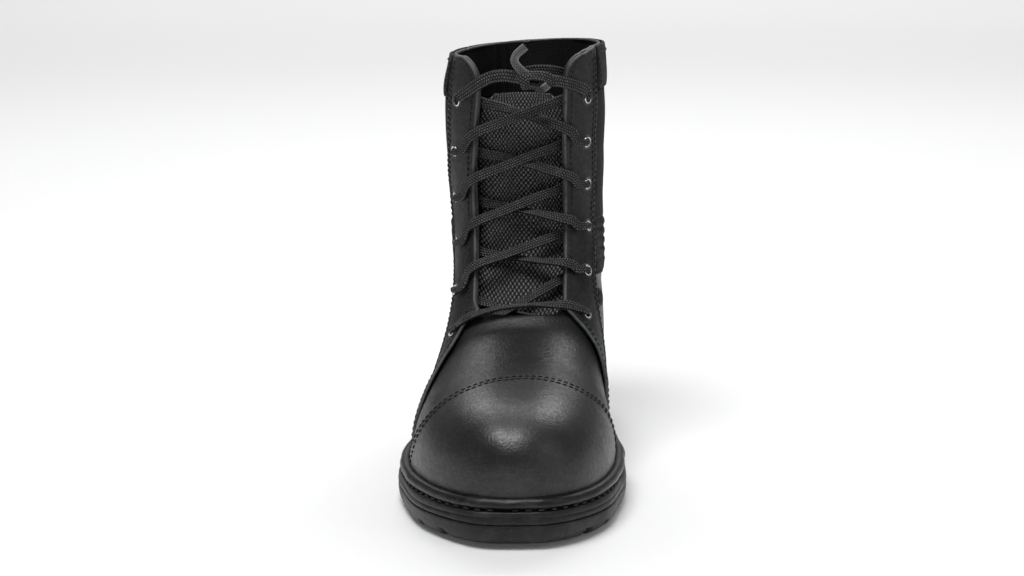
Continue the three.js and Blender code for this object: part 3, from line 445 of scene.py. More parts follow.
def above_sole(p, lift=0.0):
    return p[..., 2] - sole_top(p[..., 1]) - lift


LOWEST_EYELET = 3.5  # below the throat's floor
HIGHEST_EYELET = {"inner": 25, "outer": 26.5}  # below the collar's front


def eyelet_place(row, side):
    low = THROAT_FLOOR - LOWEST_EYELET - (EYELET_SKEW if side < 0 else 0)
    high = collar_front - HIGHEST_EYELET[side_name(side)]
    z = low + (high - low) * (row / (EYELET_ROWS - 1)) ** EYELET_SPREAD[side_name(side)]
    return float(throat_edge(z, side)) + side * EYELET_INSET, z


EYELETS = {}
for side in (1, -1):
    for row in range(EYELET_ROWS):
        x, z = eyelet_place(row, side)
        EYELETS[row, side] = (x, z) + spot(x, z)

# The toe cap's seam: x as a share of BALL_WIDTH, and its place along the length as a share
CAP_LINE = curve(
    [
        (-0.76, 0.34), (-0.5, 0.275), (-0.44, 0.224), (-0.33, 0.207), (-0.2, 0.211), (-0.05, 0.23),
        (0.1, 0.242), (0.25, 0.248), (0.36, 0.26), (0.46, 0.292), (0.76, 0.35),
    ]
)
# The quarters' front and back edges: share of the height as in height_of, and places along the
# length as shares, on the inner and outer side
FRONT_ROWS = [
    (0.185, 0.44, 0.33),
    (0.38, 0.45, 0.34),
    (0.565, 0.458, 0.357),
    (0.61, 0.461, 0.378),
    (0.69, 0.466, 0.399),
    (0.78, 0.47, 0.426),
    (0.88, 0.472, 0.451),
    (1, 0.477, 0.477),
    (1.05, 0.486, 0.486),
]
BACK_ROWS = [(0.13, 0.545, 0.44), (0.4, 0.547, 0.458), (0.63, 0.55, 0.485), (0.85, 0.56, 0.53)]
front_line = {}
back_line = {}
for k, side in ((1, 1), (2, -1)):
    front_rows, low_rows = (
        [(float(height_of(row[0])), UPPER_LENGTH * row[k]) for row in rows]
        for rows in (FRONT_ROWS, BACK_ROWS)
    )
    front_line[side] = curve(front_rows)
    eyelets = [EYELETS[row, side] for row in range(1, EYELET_ROWS)]
    back_line[side] = curve(low_rows + [(z, at[1] + EYESTAY_MARGIN) for x, z, at, normal in eyelets])


def by_side(p, lines):
    return np.where(p[..., 0] > 0, lines[1](p[..., 2]), lines[-1](p[..., 2]))


def ahead_of_back(p):
    return by_side(p, back_line) - p[..., 1]


def behind_front(p):
    top = float(height_of(FRONT_ROWS[-1][0]))
    far = p[..., 1] - by_side(p, front_line)
    return np.where(p[..., 2] > top, FAR, far)


def within_cap(p):
    return CAP_LINE(p[..., 0] / BALL_WIDTH) * UPPER_LENGTH - p[..., 1]


def ankle_line(p, drop=0.0):
    """How far a point lies below the ankle panel's top edge, lowered by drop."""
    start = back_line[1](ANKLE_PANEL_TOP)
    return ANKLE_PANEL_TOP - drop - ANKLE_SLOPE * (p[..., 1] - start) - p[..., 2]


def off_backstay(p):
    far = np.abs(p[..., 0] - AXIS_SHIFT) - BACKSTAY_HALF
    return np.where(p[..., 1] > MID_SHAFT, far, FAR)


# Soft troughs (below zero) and ridges of the leather: two ends of each in the boot's own
# millimetres, its width and its depth
CREASES = [
    ((-38, 70, 62), (-12, 96, 82), 5.5, -0.7),
    ((-42, 78, 55), (-20, 104, 84), 6, 0.5),
    ((14, 104, 85), (40, 88, 66), 5.5, -0.6),
    ((10, 96, 80), (34, 80, 66), 6, 0.4),
    ((-44, 128, 84), (-34, 150, 112), 6, -0.8),
    ((-46, 150, 86), (-40, 168, 118), 7, 0.7),
    ((44, 126, 84), (38, 150, 108), 6, -0.7),
    ((-46, 170, 96), (-40, 236, 108), 7, -1.1),
    ((-46, 176, 112), (-40, 236, 120), 6, 0.8),
    ((46, 168, 98), (42, 238, 106), 7, -1.1),
    ((46, 176, 112), (42, 238, 118), 6, 0.8),
    ((-36, 170, 150), (-44, 214, 142), 6, -0.8),
    ((-38, 168, 176), (-45, 210, 168), 7, -0.6),
    ((40, 172, 152), (45, 212, 144), 6, -0.7),
    ((40, 176, 182), (45, 216, 172), 7, -0.6),
]
# Broad swellings and hollows, in the same way
SWELLINGS = [
    ((46, 190, 130), (44, 196, 190), 22, 1.2),
    ((-44, 190, 120), (-44, 192, 190), 22, 1.6),
]


def near_line(p, a, b):
    a, b = np.array(a, float), np.array(b, float)
    along = b - a
    t = np.clip(((p - a) @ along) / along.dot(along), 0, 1)
    far = np.linalg.norm(p - (a + t[..., None] * along), axis=-1)
    return far, t


def creases(p):
    lift = np.zeros(p.shape[:-1])
    for a, b, width, depth in CREASES:
        far, t = near_line(p, a, b)
        fade = 0.35 + 0.65 * np.sin(math.pi * np.clip(t, 0.02, 0.98))
        lift += depth * np.exp(-((far / width) ** 2)) * fade
    return lift + swelling(p) + ripple(p, 17, 0.16) + ripple(p, 41, 0.22)


def swelling(p):
    lift = np.zeros(p.shape[:-1])
    for a, b, width, depth in SWELLINGS:
        lift += depth * np.exp(-((near_line(p, a, b)[0] / width) ** 2))
    return lift


def ripple(p, size, depth):
    """A slow unevenness of the leather, the same at each run."""
    q = p / size
    wave = np.sin(q[..., 0] * 2.1 + 1.7 * np.sin(q[..., 2] * 1.3)) + np.sin(q[..., 1] * 1.9 + q[..., 2] * 1.1)
    wave += np.sin(q[..., 2] * 2.3 + 1.1 * np.sin(q[..., 1] * 1.7))
    return depth * wave / 3


# Meshes

ORIGIN = (0.371, 143.235)  # the middle of the sole's width and length, in the last's own lengths


def add_piece(name, points, faces, material, slot, stands_for=(), normals=None, marks=None):
    """A piece from points in the boot's millimetres. marks are named values for each point."""
    mesh = bpy.data.meshes.new(name)
    shifted = (np.asarray(points, float) - (*ORIGIN, 0)) * MM
    mesh.from_pydata(shifted.tolist(), [], [list(map(int, face)) for face in faces])
    mesh.validate()
    mesh.polygons.foreach_set("use_smooth", [True] * len(mesh.polygons))
    for key, values in (marks or {}).items():
        kind, part = ("FLOAT", "value") if values.ndim == 1 else ("FLOAT_VECTOR", "vector")
        mesh.attributes.new(key, kind, "POINT").data.foreach_set(part, values.ravel())
    if normals is not None:
        mesh.normals_split_custom_set_from_vertices([tuple(n) for n in np.asarray(normals, float)])
    mesh.update()
    obj = bpy.data.objects.new(name, mesh)
    bpy.context.collection.objects.link(obj)
    mesh.materials.append(material)
    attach(obj, "root")
    if stands_for:
        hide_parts(*stands_for)
    return obj


def corners_of(i, j):
    return [(i, j), (i, j + 1), (i + 1, j + 1), (i + 1, j)]


class Cut:
    """A grid cut along the line where its field is zero, keeping what is above it."""

    SNAP = 0.12

    def __init__(self, skin, field, **marks):
        self.points, self.normals = [], []
        self.marks = {key: [] for key in marks}
        self.skin, self.field, self.grid_marks = skin, field, marks
        self.index = {}
        self.edge = set()
        self.faces = []
        self.run()

    def vertex(self, key, weights):
        if key not in self.index:
            self.index[key] = len(self.points)
            point = sum(w * self.skin.points[ij] for ij, w in weights)
            normal = sum(w * self.skin.normal[ij] for ij, w in weights)
            self.points.append(point)
            self.normals.append(unit(normal))
            for mark, values in self.grid_marks.items():
                self.marks[mark].append(sum(w * values[ij] for ij, w in weights))
        return self.index[key]

    def crossing(self, a, b):
        fa, fb = self.field[a], self.field[b]
        t = fa / (fa - fb)
        if t < self.SNAP and fa > 0:
            found = self.vertex(a, [(a, 1)])
        elif t > 1 - self.SNAP and fb > 0:
            found = self.vertex(b, [(b, 1)])
        else:
            found = self.vertex((min(a, b), max(a, b)), [(a, 1 - t), (b, t)])
        self.edge.add(found)
        return found

    def run(self):
        inside = self.field > 0
        whole = inside[:-1, :-1] & inside[1:, :-1] & inside[1:, 1:] & inside[:-1, 1:]
        some = inside[:-1, :-1] | inside[1:, :-1] | inside[1:, 1:] | inside[:-1, 1:]
        for i, j in np.argwhere(some):
            corners = corners_of(i, j)
            if whole[i, j]:
                self.faces.append([self.vertex(c, [(c, 1)]) for c in corners])
                continue
            polygon = []
            for a, b in zip(corners, corners[1:] + corners[:1]):
                if inside[a]:
                    polygon.append(self.vertex(a, [(a, 1)]))
                if inside[a] != inside[b]:
                    polygon.append(self.crossing(a, b))
            tidy = without_repeats(polygon)
            if len(set(tidy)) >= 3 and len(set(tidy)) == len(tidy):
                self.faces.append(tidy)
        self.points = np.array(self.points)
        self.normals = np.array(self.normals)
        self.marks = {key: np.array(values) for key, values in self.marks.items()}

    def weld(self):
        """Joins points in one place, as at the toe's tip and where a ring closes."""
        key = np.round(self.points, 3)
        _, first, back = np.unique(key, axis=0, return_index=True, return_inverse=True)
        back = back.ravel()
        normal = np.zeros((len(first), 3))
        np.add.at(normal, back, self.normals)
        self.points = self.points[first]
        self.normals = normal / np.maximum(np.linalg.norm(normal, axis=1, keepdims=True), 1e-9)
        self.marks = {mark: values[first] for mark, values in self.marks.items()}
        self.edge = {int(back[v]) for v in self.edge}
        faces = []
        for face in self.faces:
            tidy = without_repeats([int(back[v]) for v in face])
            if len(set(tidy)) >= 3:
                faces.append(tidy)
        self.faces = faces

    def rim(self, radius, sweep=math.pi / 2, steps=4, down=0.0):
        """Rounds the cut edge over, and closes it down to what lies below."""
        used = {}
        for face in self.faces:
            for a, b in zip(face, face[1:] + face[:1]):
                used.setdefault((min(a, b), max(a, b)), []).append((a, b))
        border = [pair[0] for pair in used.values() if len(pair) == 1]
        border = [(a, b) for a, b in border if a in self.edge and b in self.edge]
        out = {}
        for a, b in border:
            along = self.points[b] - self.points[a]
            for v in (a, b):
                out[v] = out.get(v, 0) + np.cross(along, self.normals[v])
        ids = list(out)
        if not ids:
            return
        where = {v: k for k, v in enumerate(ids)}
        away = np.array([out[v] for v in ids])
        away -= self.normals[ids] * np.sum(away * self.normals[ids], axis=1, keepdims=True)
        away /= np.maximum(np.linalg.norm(away, axis=1, keepdims=True), 1e-9)
        start, lift = self.points[ids], self.normals[ids]
        rings = []
        for k in range(steps):
            turn = sweep * (k + 1) / steps
            points = start + away * radius * math.sin(turn) - lift * radius * (1 - math.cos(turn))
            rings.append((points, lift * math.cos(turn) + away * math.sin(turn)))
        if down:
            rings.append((rings[-1][0] - lift * down, away))
        before = np.array(ids)
        for points, normals in rings:
            base = len(self.points)
            self.points = np.vstack([self.points, points])
            self.normals = np.vstack([self.normals, normals])
            for mark, values in self.marks.items():
                self.marks[mark] = np.concatenate([values, values[ids]])
            now = base + np.arange(len(ids))
            for a, b in border:
                ka, kb = where[a], where[b]
                self.faces.append([before[ka], now[ka], now[kb], before[kb]])
            before = now


def contour(skin, field, level, keep=None):
    """Lines on a grid where a field has a value: each a list of points and of normals."""
    f = field - level
    above = f > 0
    links = {}
    spots = {}

    def crossing(a, b):
        key = (min(a, b), max(a, b))
        if key not in spots:
            t = f[a] / (f[a] - f[b])
            point = (1 - t) * skin.points[a] + t * skin.points[b]
            normal = (1 - t) * skin.normal[a] + t * skin.normal[b]
            kept = 1.0 if keep is None else (1 - t) * keep[a] + t * keep[b]
            spots[key] = (point, unit(normal), kept)
        return key

    first = above[:-1, :-1]
    mixed = (first != above[1:, :-1]) | (first != above[:-1, 1:]) | (first != above[1:, 1:])
    for i, j in np.argwhere(mixed):
        corners = corners_of(i, j)
        keys = [crossing(a, b) for a, b in zip(corners, corners[1:] + corners[:1]) if above[a] != above[b]]
        for a, b in zip(keys[::2], keys[1::2]):
            links.setdefault(a, []).append(b)
            links.setdefault(b, []).append(a)
    lines = []
    done = set()
    ends = [key for key, near in links.items() if len(near) == 1]
    for start in ends + list(links):
        if start in done:
            continue
        line, here = [start], start
        done.add(start)
        while True:
            ahead = [key for key in links[here] if key not in done]
            if not ahead:
                break
            here = ahead[0]
            done.add(here)
            line.append(here)
        run = []
        for key in line:
            if spots[key][2] > 0:
                run.append(spots[key])
            elif run:
                lines.append(run)
                run = []
        if run:
            lines.append(run)
    return [tuple(np.array([s[k] for s in line]) for k in (0, 1)) for line in lines if len(line) > 3]


class Threads:
    """Stitches, gathered into one mesh: short rounded lengths of thread along lines."""

    SIDES = 6
    # Rings of a stitch: share of its length, of its radius, and its rise in radii
    RINGS = (
        (0.0, 0.12, -0.35), (0.12, 0.75, 0.0), (0.32, 1.0, 0.2),
        (0.68, 1.0, 0.2), (0.88, 0.75, 0.0), (1.0, 0.12, -0.35),
    )
    AHEAD = 0.3  # how far along the line its direction is measured

    def __init__(self):
        self.points, self.faces = [], []

    def sew(self, lines, pitch=3.4, fill=0.76, radius=0.42, lift=0.12):
        for points, normals in lines:
            run = lengths_along(points)
            for k in range(int(run[-1] / pitch)):
                self.stitch(points, normals, run, k * pitch, pitch * fill, radius, lift)

    def stitch(self, points, normals, run, start, length, radius, lift):
        base = len(self.points)
        for share, size, rise in self.RINGS:
            at = start + share * length
            here, normal = pick(at, run, points), pick(at, run, normals)
            along = pick(at + self.AHEAD, run, points) - here
            if np.linalg.norm(along) < 1e-6:
                along = here - pick(at - self.AHEAD, run, points)
            along = unit(along)
            normal = unit(normal - along * normal.dot(along))
            across = np.cross(normal, along)
            middle = here + normal * (lift + rise * radius)
            for s in range(self.SIDES):
                turn = 2 * math.pi * s / self.SIDES
                out = across * math.cos(turn) + normal * math.sin(turn)
                self.points.append(middle + radius * size * out)
        for ring in range(len(self.RINGS) - 1):
            for s in range(self.SIDES):
                a = base + ring * self.SIDES + s
                b = base + ring * self.SIDES + (s + 1) % self.SIDES
                self.faces.append([a, b, b + self.SIDES, a + self.SIDES])
        last = base + (len(self.RINGS) - 1) * self.SIDES
        self.faces.append([base + s for s in reversed(range(self.SIDES))])
        self.faces.append([last + s for s in range(self.SIDES)])


def panel(name, skin, field, material, slot, stands_for, radius=0.6, sweep=math.pi / 2, down=0.0, steps=4):
    """A sheet cut from a grid, with its edge rounded over and marked as worn."""
    inset = radius * min(1.0, math.sin(min(sweep, math.pi / 2)))
    cut = Cut(skin, field - inset, edge_far=field, flat=skin.flat)
    cut.weld()
    cut.rim(radius, sweep, steps, down)
    add_piece(name, cut.points, cut.faces, material, slot, stands_for, cut.normals, cut.marks)


# Materials


class Graph:
    """A small helper for writing shader nodes."""

    def __init__(self, name, base, roughness, **settings):
        self.material = bpy.data.materials.new(name)
        self.material.use_nodes = True
        self.tree = self.material.node_tree
        self.shader = self.tree.nodes["Principled BSDF"]
        self.set("Base Color", (*base, 1))
        self.set("Roughness", roughness)
        for key, value in settings.items():
            self.set(key.replace("_", " "), value)

    def set(self, socket, value):
        if isinstance(value, bpy.types.NodeSocket):
            self.tree.links.new(value, self.shader.inputs[socket])
        else:
            self.shader.inputs[socket].default_value = value

    def node(self, kind, inputs=(), **settings):
        node = self.tree.nodes.new(kind)
        for key, value in settings.items():
            setattr(node, key, value)
        for key, value in dict(inputs).items():
            if value is None:
                continue
            if isinstance(value, bpy.types.NodeSocket):
                self.tree.links.new(value, node.inputs[key])
            else:
                node.inputs[key].default_value = value
        return node

    def math(self, operation, a, b=0.0, c=0.0):
        return self.node("ShaderNodeMath", {0: a, 1: b, 2: c}, operation=operation).outputs[0]

    def place(self):
        return self.node("ShaderNodeTexCoord").outputs["Object"]

    def mark(self, name, vector=False):
        node = self.node("ShaderNodeAttribute", attribute_name=name)
        return node.outputs["Vector"] if vector else node.outputs["Fac"]

    def noise(self, scale, detail=4.0, roughness=0.55, vector=None, distortion=0.0):
        inputs = {"Vector": vector or self.place(), "Scale": scale, "Detail": detail,
                  "Roughness": roughness, "Distortion": distortion}
        return self.node("ShaderNodeTexNoise", inputs).outputs["Fac"]

    def cells(self, scale, feature="F1", vector=None):
        inputs = {"Vector": vector or self.place(), "Scale": scale}
        return self.node("ShaderNodeTexVoronoi", inputs, feature=feature).outputs["Distance"]

    def fit(self, value, low, high, to_low=0.0, to_high=1.0):
        inputs = {"Value": value, "From Min": low, "From Max": high, "To Min": to_low, "To Max": to_high}
        return self.node("ShaderNodeMapRange", inputs).outputs[0]

    def blend(self, share, a, b):
        node = self.node("ShaderNodeMix", {"Factor": share}, data_type="RGBA")
        for socket, value in ((node.inputs[6], a), (node.inputs[7], b)):
            if isinstance(value, bpy.types.NodeSocket):
                self.tree.links.new(value, socket)
            else:
                socket.default_value = (*value, 1)
        return node.outputs[2]

    def bump(self, height, distance, strength=1.0, under=None):
        inputs = {"Height": height, "Distance": distance, "Strength": strength, "Normal": under}
        return self.node("ShaderNodeBump", inputs).outputs["Normal"]


LEATHER_BLACK = (0.0052, 0.0054, 0.0058)
LEATHER_WORN = (0.24, 0.24, 0.243)
LEATHER_DUST = (0.045, 0.045, 0.046)


def leather_material(name, gloss, grain=1.0, wear=1.0, shine=0.38):
    """Black leather, grey where it's dusty or scratched and palest along its worn edges."""
    g = Graph(name, LEATHER_BLACK, gloss, Specular_IOR_Level=shine)
    cloud = g.noise(38, 5)
    fine = g.noise(900, 3)
    pebble = g.cells(1050, "SMOOTH_F1")
    mottle = g.noise(420, 6, 0.72)
    edge = g.fit(g.mark("edge_far"), 0.1, 1.3, 1, 0)
    rub = g.math("MULTIPLY", edge, g.fit(g.noise(90, 3), 0.3, 0.55, 0.35, 1.0))
    dust = g.fit(g.noise(60, 6, 0.7), 0.55, 0.8, 0, 0.5)
    scratch = g.fit(g.noise(55, 8, 0.75, distortion=2.5), 0.63, 0.7, 0, 0.3)
    speck = g.fit(g.noise(520, 2, 0.6), 0.7, 0.76, 0, 0.6)
    tone = g.blend(g.fit(cloud, 0.3, 0.7), LEATHER_BLACK, tuple(1.7 * v for v in LEATHER_BLACK))
    tone = g.blend(g.fit(mottle, 0.4, 0.68, 0, 0.75), tone, tuple(3.6 * v for v in LEATHER_BLACK))
    tone = g.blend(g.math("MAXIMUM", g.math("MAXIMUM", dust, scratch), speck), tone, LEATHER_DUST)
    tone = g.blend(g.math("MULTIPLY", rub, wear), tone, LEATHER_WORN)
    g.set("Base Color", tone)
    rough = g.math("ADD", g.fit(cloud, 0.25, 0.75, gloss - 0.06, gloss + 0.08), g.math("MULTIPLY", rub, 0.15))
    g.set("Roughness", g.math("ADD", rough, g.fit(mottle, 0.35, 0.65, 0.07, -0.08)))
    soft = g.bump(g.noise(150, 4), 0.0006, 0.5 * grain)
    pores = g.bump(pebble, 0.0002, 0.6 * grain, soft)
    g.set("Normal", g.bump(fine, 0.0001, 0.7 * grain, pores))
    return g.material


def weave_height(g, flat, across, along):
    """Height of a plain weave, with strips of these widths in millimetres."""
    parts = g.node("ShaderNodeSeparateXYZ", {0: flat}).outputs
    x = g.math("DIVIDE", parts[0], across)
    y = g.math("DIVIDE", parts[1], along)
    checker = g.math("PINGPONG", g.math("ADD", g.math("FLOOR", x), g.math("FLOOR", y)), 1.0)
    fx = g.math("SINE", g.math("MULTIPLY", g.math("FRACT", x), math.pi))
    fy = g.math("SINE", g.math("MULTIPLY", g.math("FRACT", y), math.pi))
    over = g.math("MULTIPLY", checker, g.math("MULTIPLY", g.math("POWER", fx, 0.5), fy))
    rest = g.math("SUBTRACT", 1.0, checker)
    under = g.math("MULTIPLY", rest, g.math("MULTIPLY", g.math("POWER", fy, 0.5), fx))
    return g.math("ADD", over, under)


def cloth_material(name, across, along, base, tip, depth, degrees=0.0, lint=0.25):
    """A weave: base is painted shade between its strips and tip a painted highlight on them; then its depth
    in metres and its turn.
    """
    g = Graph(name, base, 0.8, Specular_IOR_Level=0.2)
    flat = g.mark("flat", vector=True)
    if degrees:
        turn = {"Vector": flat, "Angle": math.radians(degrees)}
        flat = g.node("ShaderNodeVectorRotate", turn, rotation_type="Z_AXIS").outputs[0]
    height = weave_height(g, flat, across, along)
    fleck = g.fit(g.noise(2400, 2), 0.56, 0.72, 0, lint)
    # Painted light: the raised strips take the tip colour as a painted highlight, and the low parts between
    # them the base colour as painted shade.
    tone = g.blend(g.fit(height, 0.15, 0.95), base, tip)
    g.set("Base Color", g.blend(fleck, tone, (0.12, 0.12, 0.122)))
    g.set("Roughness", g.fit(height, 0, 1, 0.9, 0.62))
    threads = g.bump(g.noise(3800, 2), 0.00008, 0.6)
    g.set("Normal", g.bump(height, depth, 0.9, threads))
    return g.material


RUBBER_BLACK = (0.007, 0.007, 0.0075)
RUBBER_DUST = (0.085, 0.085, 0.087)


def rubber_material(name, gloss=0.48, dusty=0.3, streaks=0.5):
    g = Graph(name, RUBBER_BLACK, gloss, Specular_IOR_Level=0.4)
    cloud = g.noise(45, 5)
    dust = g.fit(g.noise(95, 7, 0.7), 0.5, 0.78, 0, dusty)
    speck = g.fit(g.noise(700, 2), 0.66, 0.74, 0, dusty * 1.6)
    level = g.node("ShaderNodeMapping", {"Vector": g.place(), "Scale": (0.16, 0.16, 1.0)}).outputs[0]
    streak = g.noise(330, 5, 0.65, vector=level)
    rubbed = g.fit(streak, 0.55, 0.75, 0, streaks)
    rubbed = g.math("MAXIMUM", g.math("MAXIMUM", dust, speck), rubbed)
    g.set("Base Color", g.blend(rubbed, RUBBER_BLACK, RUBBER_DUST))
    g.set("Roughness", g.fit(cloud, 0.3, 0.7, gloss - 0.1, gloss + 0.1))
    soft = g.bump(streak, 0.0006, 0.6, g.bump(g.noise(210, 4), 0.0005, 0.4))
    g.set("Normal", g.bump(g.noise(1400, 3), 0.00006, 0.5, soft))
    return g.material


def thread_material():
    g = Graph("thread", (0.004, 0.004, 0.0045), 0.6)
    g.set("Normal", g.bump(g.noise(3000, 1), 0.00008, 0.6))
    return g.material


def nickel_material():
    g = Graph("nickel", (0.66, 0.66, 0.67), 0.22, Metallic=1.0)
    g.set("Roughness", g.fit(g.noise(900, 4), 0.35, 0.7, 0.16, 0.36))
    g.set("Base Color", g.blend(g.fit(g.noise(300, 4), 0.4, 0.7), (0.72, 0.72, 0.73), (0.45, 0.45, 0.45)))
    return g.material


def lace_material():
    """Painted shade between the braid's strands, a painted sheen with painted glints on their tips, and pale
    where the lace is worn.
    """
    g = Graph("lace", (0.01, 0.01, 0.011), 0.6, Specular_IOR_Level=0.3)
    tip = g.mark("tip")
    # The crests take a painted sheen, stronger or weaker with the noise named wear, and painted glints from
    # the flecks; the hollows between the strands are painted shade.
    wear = g.fit(g.noise(240, 4, 0.7), 0.35, 0.7, 0.55, 1.5)
    fleck = g.fit(g.noise(1900, 2), 0.55, 0.7, 0, 0.7)
    crest_sheen = g.math("MULTIPLY", g.fit(tip, 0.35, 1.0), wear)
    tone = g.blend(crest_sheen, (0.002, 0.002, 0.0022), (0.15, 0.15, 0.154))
    tone = g.blend(g.math("MULTIPLY", fleck, tip), tone, (0.26, 0.26, 0.26))
    g.set("Base Color", g.blend(g.mark("pale"), tone, (0.2, 0.2, 0.2)))
    g.set("Normal", g.bump(g.noise(2600, 2), 0.00012, 0.8))
    return g.material


LEATHER_LOOK = leather_material("leather", gloss=0.46, shine=0.5)
QUARTER_LOOK = leather_material("quarter_leather", gloss=0.55, grain=1.2)
CAP_LOOK = leather_material("cap_leather", gloss=0.42, grain=0.8, wear=0.6, shine=0.62)
# Each weave's two colours are the painted shade between its strips and the painted highlight on them.
LINING_LOOK = cloth_material("lining", 0.9, 0.9, (0.003, 0.003, 0.003), (0.006, 0.006, 0.006), 0.00008)
NYLON_LOOK = cloth_material("nylon", 1.1, 1.1, (0.003, 0.003, 0.0035), (0.022, 0.022, 0.023), 0.0005)
RIBBED_LOOK = cloth_material("ribbed_nylon", 0.8, 0.6, (0.004, 0.004, 0.0045), (0.02, 0.02, 0.021), 0.0002)
WEBBING_LOOK = cloth_material("webbing", 1.5, 0.9, (0.002, 0.002, 0.0025), (0.06, 0.06, 0.063), 0.0008)
TONGUE_LOOK = cloth_material(
    "tongue_weave", 2.0, 2.0, (0.0012, 0.0012, 0.0012), (0.2, 0.2, 0.204), 0.0014, degrees=45, lint=1.0
)
RUBBER_LOOK = rubber_material("rubber")
WELT_LOOK = rubber_material("welt_rubber", gloss=0.4, dusty=0.4, streaks=0.25)
THREAD_LOOK = thread_material()
NICKEL_LOOK = nickel_material()
LACE_LOOK = lace_material()

# The sole's outline: the line where the upper meets it, pushed outwards

# How wide the welt is from toe to heel, as a share of WELT_WIDTH
WELT_ROWS = [(0, 0.9), (0.25, 1.06), (0.36, 1.08), (0.46, 0.96), (0.6, 0.7), (0.8, 0.58), (1, 0.55)]
welt_share = curve(WELT_ROWS)
HEEL_SECTION_FROM = 14
FOOT_TURNS, FOOT_SECTIONS, HEEL_STEPS = 241, 500, 4001  # points that look for the line
MATCH_REACH = 14  # how far a point of the upper may lie from its point of the outline
OUTLINE_POINTS = 260
TIP_POINTS = 12  # points either way of the toe's tip that are smoothed there
TIP_ROUNDS = 80


def foot_line(lift):
    """Where the last is this far above the sole's top: one side, then the other, toe to heel."""
    found = []
    turns = np.linspace(0, math.pi / 2, FOOT_TURNS)
    us = 1 - (1 - np.linspace(0.0005, 1, FOOT_SECTIONS)) ** 3
    heel = np.linspace(HEEL_SECTION_FROM, HEEL_SECTION_FROM + 2, HEEL_STEPS)
    backs = last_point(heel, np.zeros_like(heel), np.ones_like(heel))
    over = backs[:, 2] - sole_top(backs[:, 1]) - lift > 0
    last = heel[int(np.argmax(over))] - 1e-3
    for side in (1.0, -1.0):
        line = []
        for u in us * last:
            ring = last_point(np.full_like(turns, u), turns, np.full_like(turns, side))
            over = ring[:, 2] - sole_top(ring[:, 1]) - lift
            k = max(1, int(np.argmax(over > 0)))
            t = over[k - 1] / (over[k - 1] - over[k]) if over[k] != over[k - 1] else 0.5
            line.append(ring[k - 1] + np.clip(t, 0, 1) * (ring[k] - ring[k - 1]))
        found.append(np.array(line))
    return found


def closed_loop(sides):
    """The two sides joined into one loop of evenly spaced points, inner side first."""
    inner, outer = sides
    closed = np.vstack([inner, outer[::-1], inner[:1]])
    run = lengths_along(closed)
    loop = pick(np.linspace(0, run[-1], 2 * OUTLINE_POINTS + 1)[:-1], run, closed)
    kernel = np.array([1, 2, 3, 4, 3, 2, 1]) / 16
    padded = np.vstack([loop[-3:], loop, loop[:3]])
    loop = np.stack([np.convolve(padded[:, k], kernel, "valid") for k in range(3)], axis=1)
    from_tip = np.minimum(np.arange(len(loop)), len(loop) - np.arange(len(loop)))
    weight = np.exp(-((from_tip / TIP_POINTS) ** 2))[:, None]
    for _ in range(TIP_ROUNDS):
        even = (np.roll(loop, 1, axis=0) + 2 * loop + np.roll(loop, -1, axis=0)) / 4
        loop = loop + weight * (even - loop)
    return loop


feather = closed_loop(foot_line(0.0))
feather_along = np.roll(feather, -1, axis=0) - np.roll(feather, 1, axis=0)
feather_out = unit(np.stack([feather_along[:, 1], -feather_along[:, 0]], axis=1))

# The photo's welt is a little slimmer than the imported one: millimetres along its length
slimmer = curve([(0, 0), (0.05, 0.9), (0.16, 2.0), (0.36, 2.1), (0.55, 1.4), (0.8, 0.4), (1, 0)])
OUTER_SIDE = np.arange(len(feather)) >= OUTLINE_POINTS


def outline(out):
    share = feather[:, 1] / UPPER_LENGTH
    slim = slimmer(share - share.min()) * np.where(OUTER_SIDE, 1, 0.9)
    push = WELT_WIDTH * welt_share(share) + out - slim
    return feather[:, :2] + feather_out * push[:, None]


def contact_loop(lift):
    """The upper's surface at a height above the sole's top, matched to the outline's points."""
    loop = closed_loop(foot_line(lift))
    found = []
    for k in range(len(feather)):
        gap = loop[:, :2] - feather[k, :2]
        sideways = np.abs(gap @ np.array([-feather_out[k, 1], feather_out[k, 0]]))
        near = np.hypot(gap[:, 0], gap[:, 1])
        found.append(loop[int(np.argmin(sideways + np.where(near > MATCH_REACH, FAR, 0)))])
    return np.array(found)


def band_mesh(rings, closed_rows=False):
    """Points and faces of rings of points, each row joined to the next."""
    rings = np.array(rings)
    rows, columns = rings.shape[:2]
    faces = []
    for i in range(rows if closed_rows else rows - 1):
        below, above = i * columns, ((i + 1) % rows) * columns
        for j in range(columns):
            k = (j + 1) % columns
            faces.append([below + j, below + k, above + k, above + j])
    return rings.reshape(-1, 3), faces


# The sole

threads = Threads()


def sole_ring(out, height, lump=0.0, size=11, wave=0.0):
    """A ring of the sole: lump swells it in and out, and wave lifts and drops it."""
    edge = outline(out + lump * ripple(feather, size, 1.0))
    return np.column_stack([edge, height(edge[:, 1]) + wave * ripple(feather, 19, 1.0)])


# The welt from its groove over the lip: out from the outline, share of the lip's height, and
# unevenness. Then from the crest in to the upper: share of the way, and depth below the crest.
WELT_LIP_ROWS = (
    (-GROOVE_DEPTH - 1.9, -0.34, 0), (-GROOVE_DEPTH - 0.5, -0.32, 0), (-GROOVE_DEPTH - 0.3, -0.02, 0),
    (-GROOVE_DEPTH + 0.3, 0.02, 0.2), (-0.75, 0.02, 0.35), (-0.25, 0.07, 0.5), (0.0, 0.18, 0.6),
    (0.05, 0.36, 0.6), (-0.15, 0.54, 0.6), (-0.6, 0.72, 0.5), (-1.25, 0.88, 0.4), (-2.1, 0.98, 0.3),
    (-LIP_ROLL, 1.0, 0.2),
)
WELT_BED_ROWS = ((0.2, -0.05), (0.42, 0.15), (0.62, 0.5), (0.8, 1.0), (0.93, 1.5))
WELT_TUCK = 1.5  # how far the welt's inner edge lies below its crest
GROOVE_THREAD = (0.5, 0.62)  # its thread: out from the groove's floor, and above the sole's top
WELT_PITCH = 6.4  # length of a stitch there and the gap after it


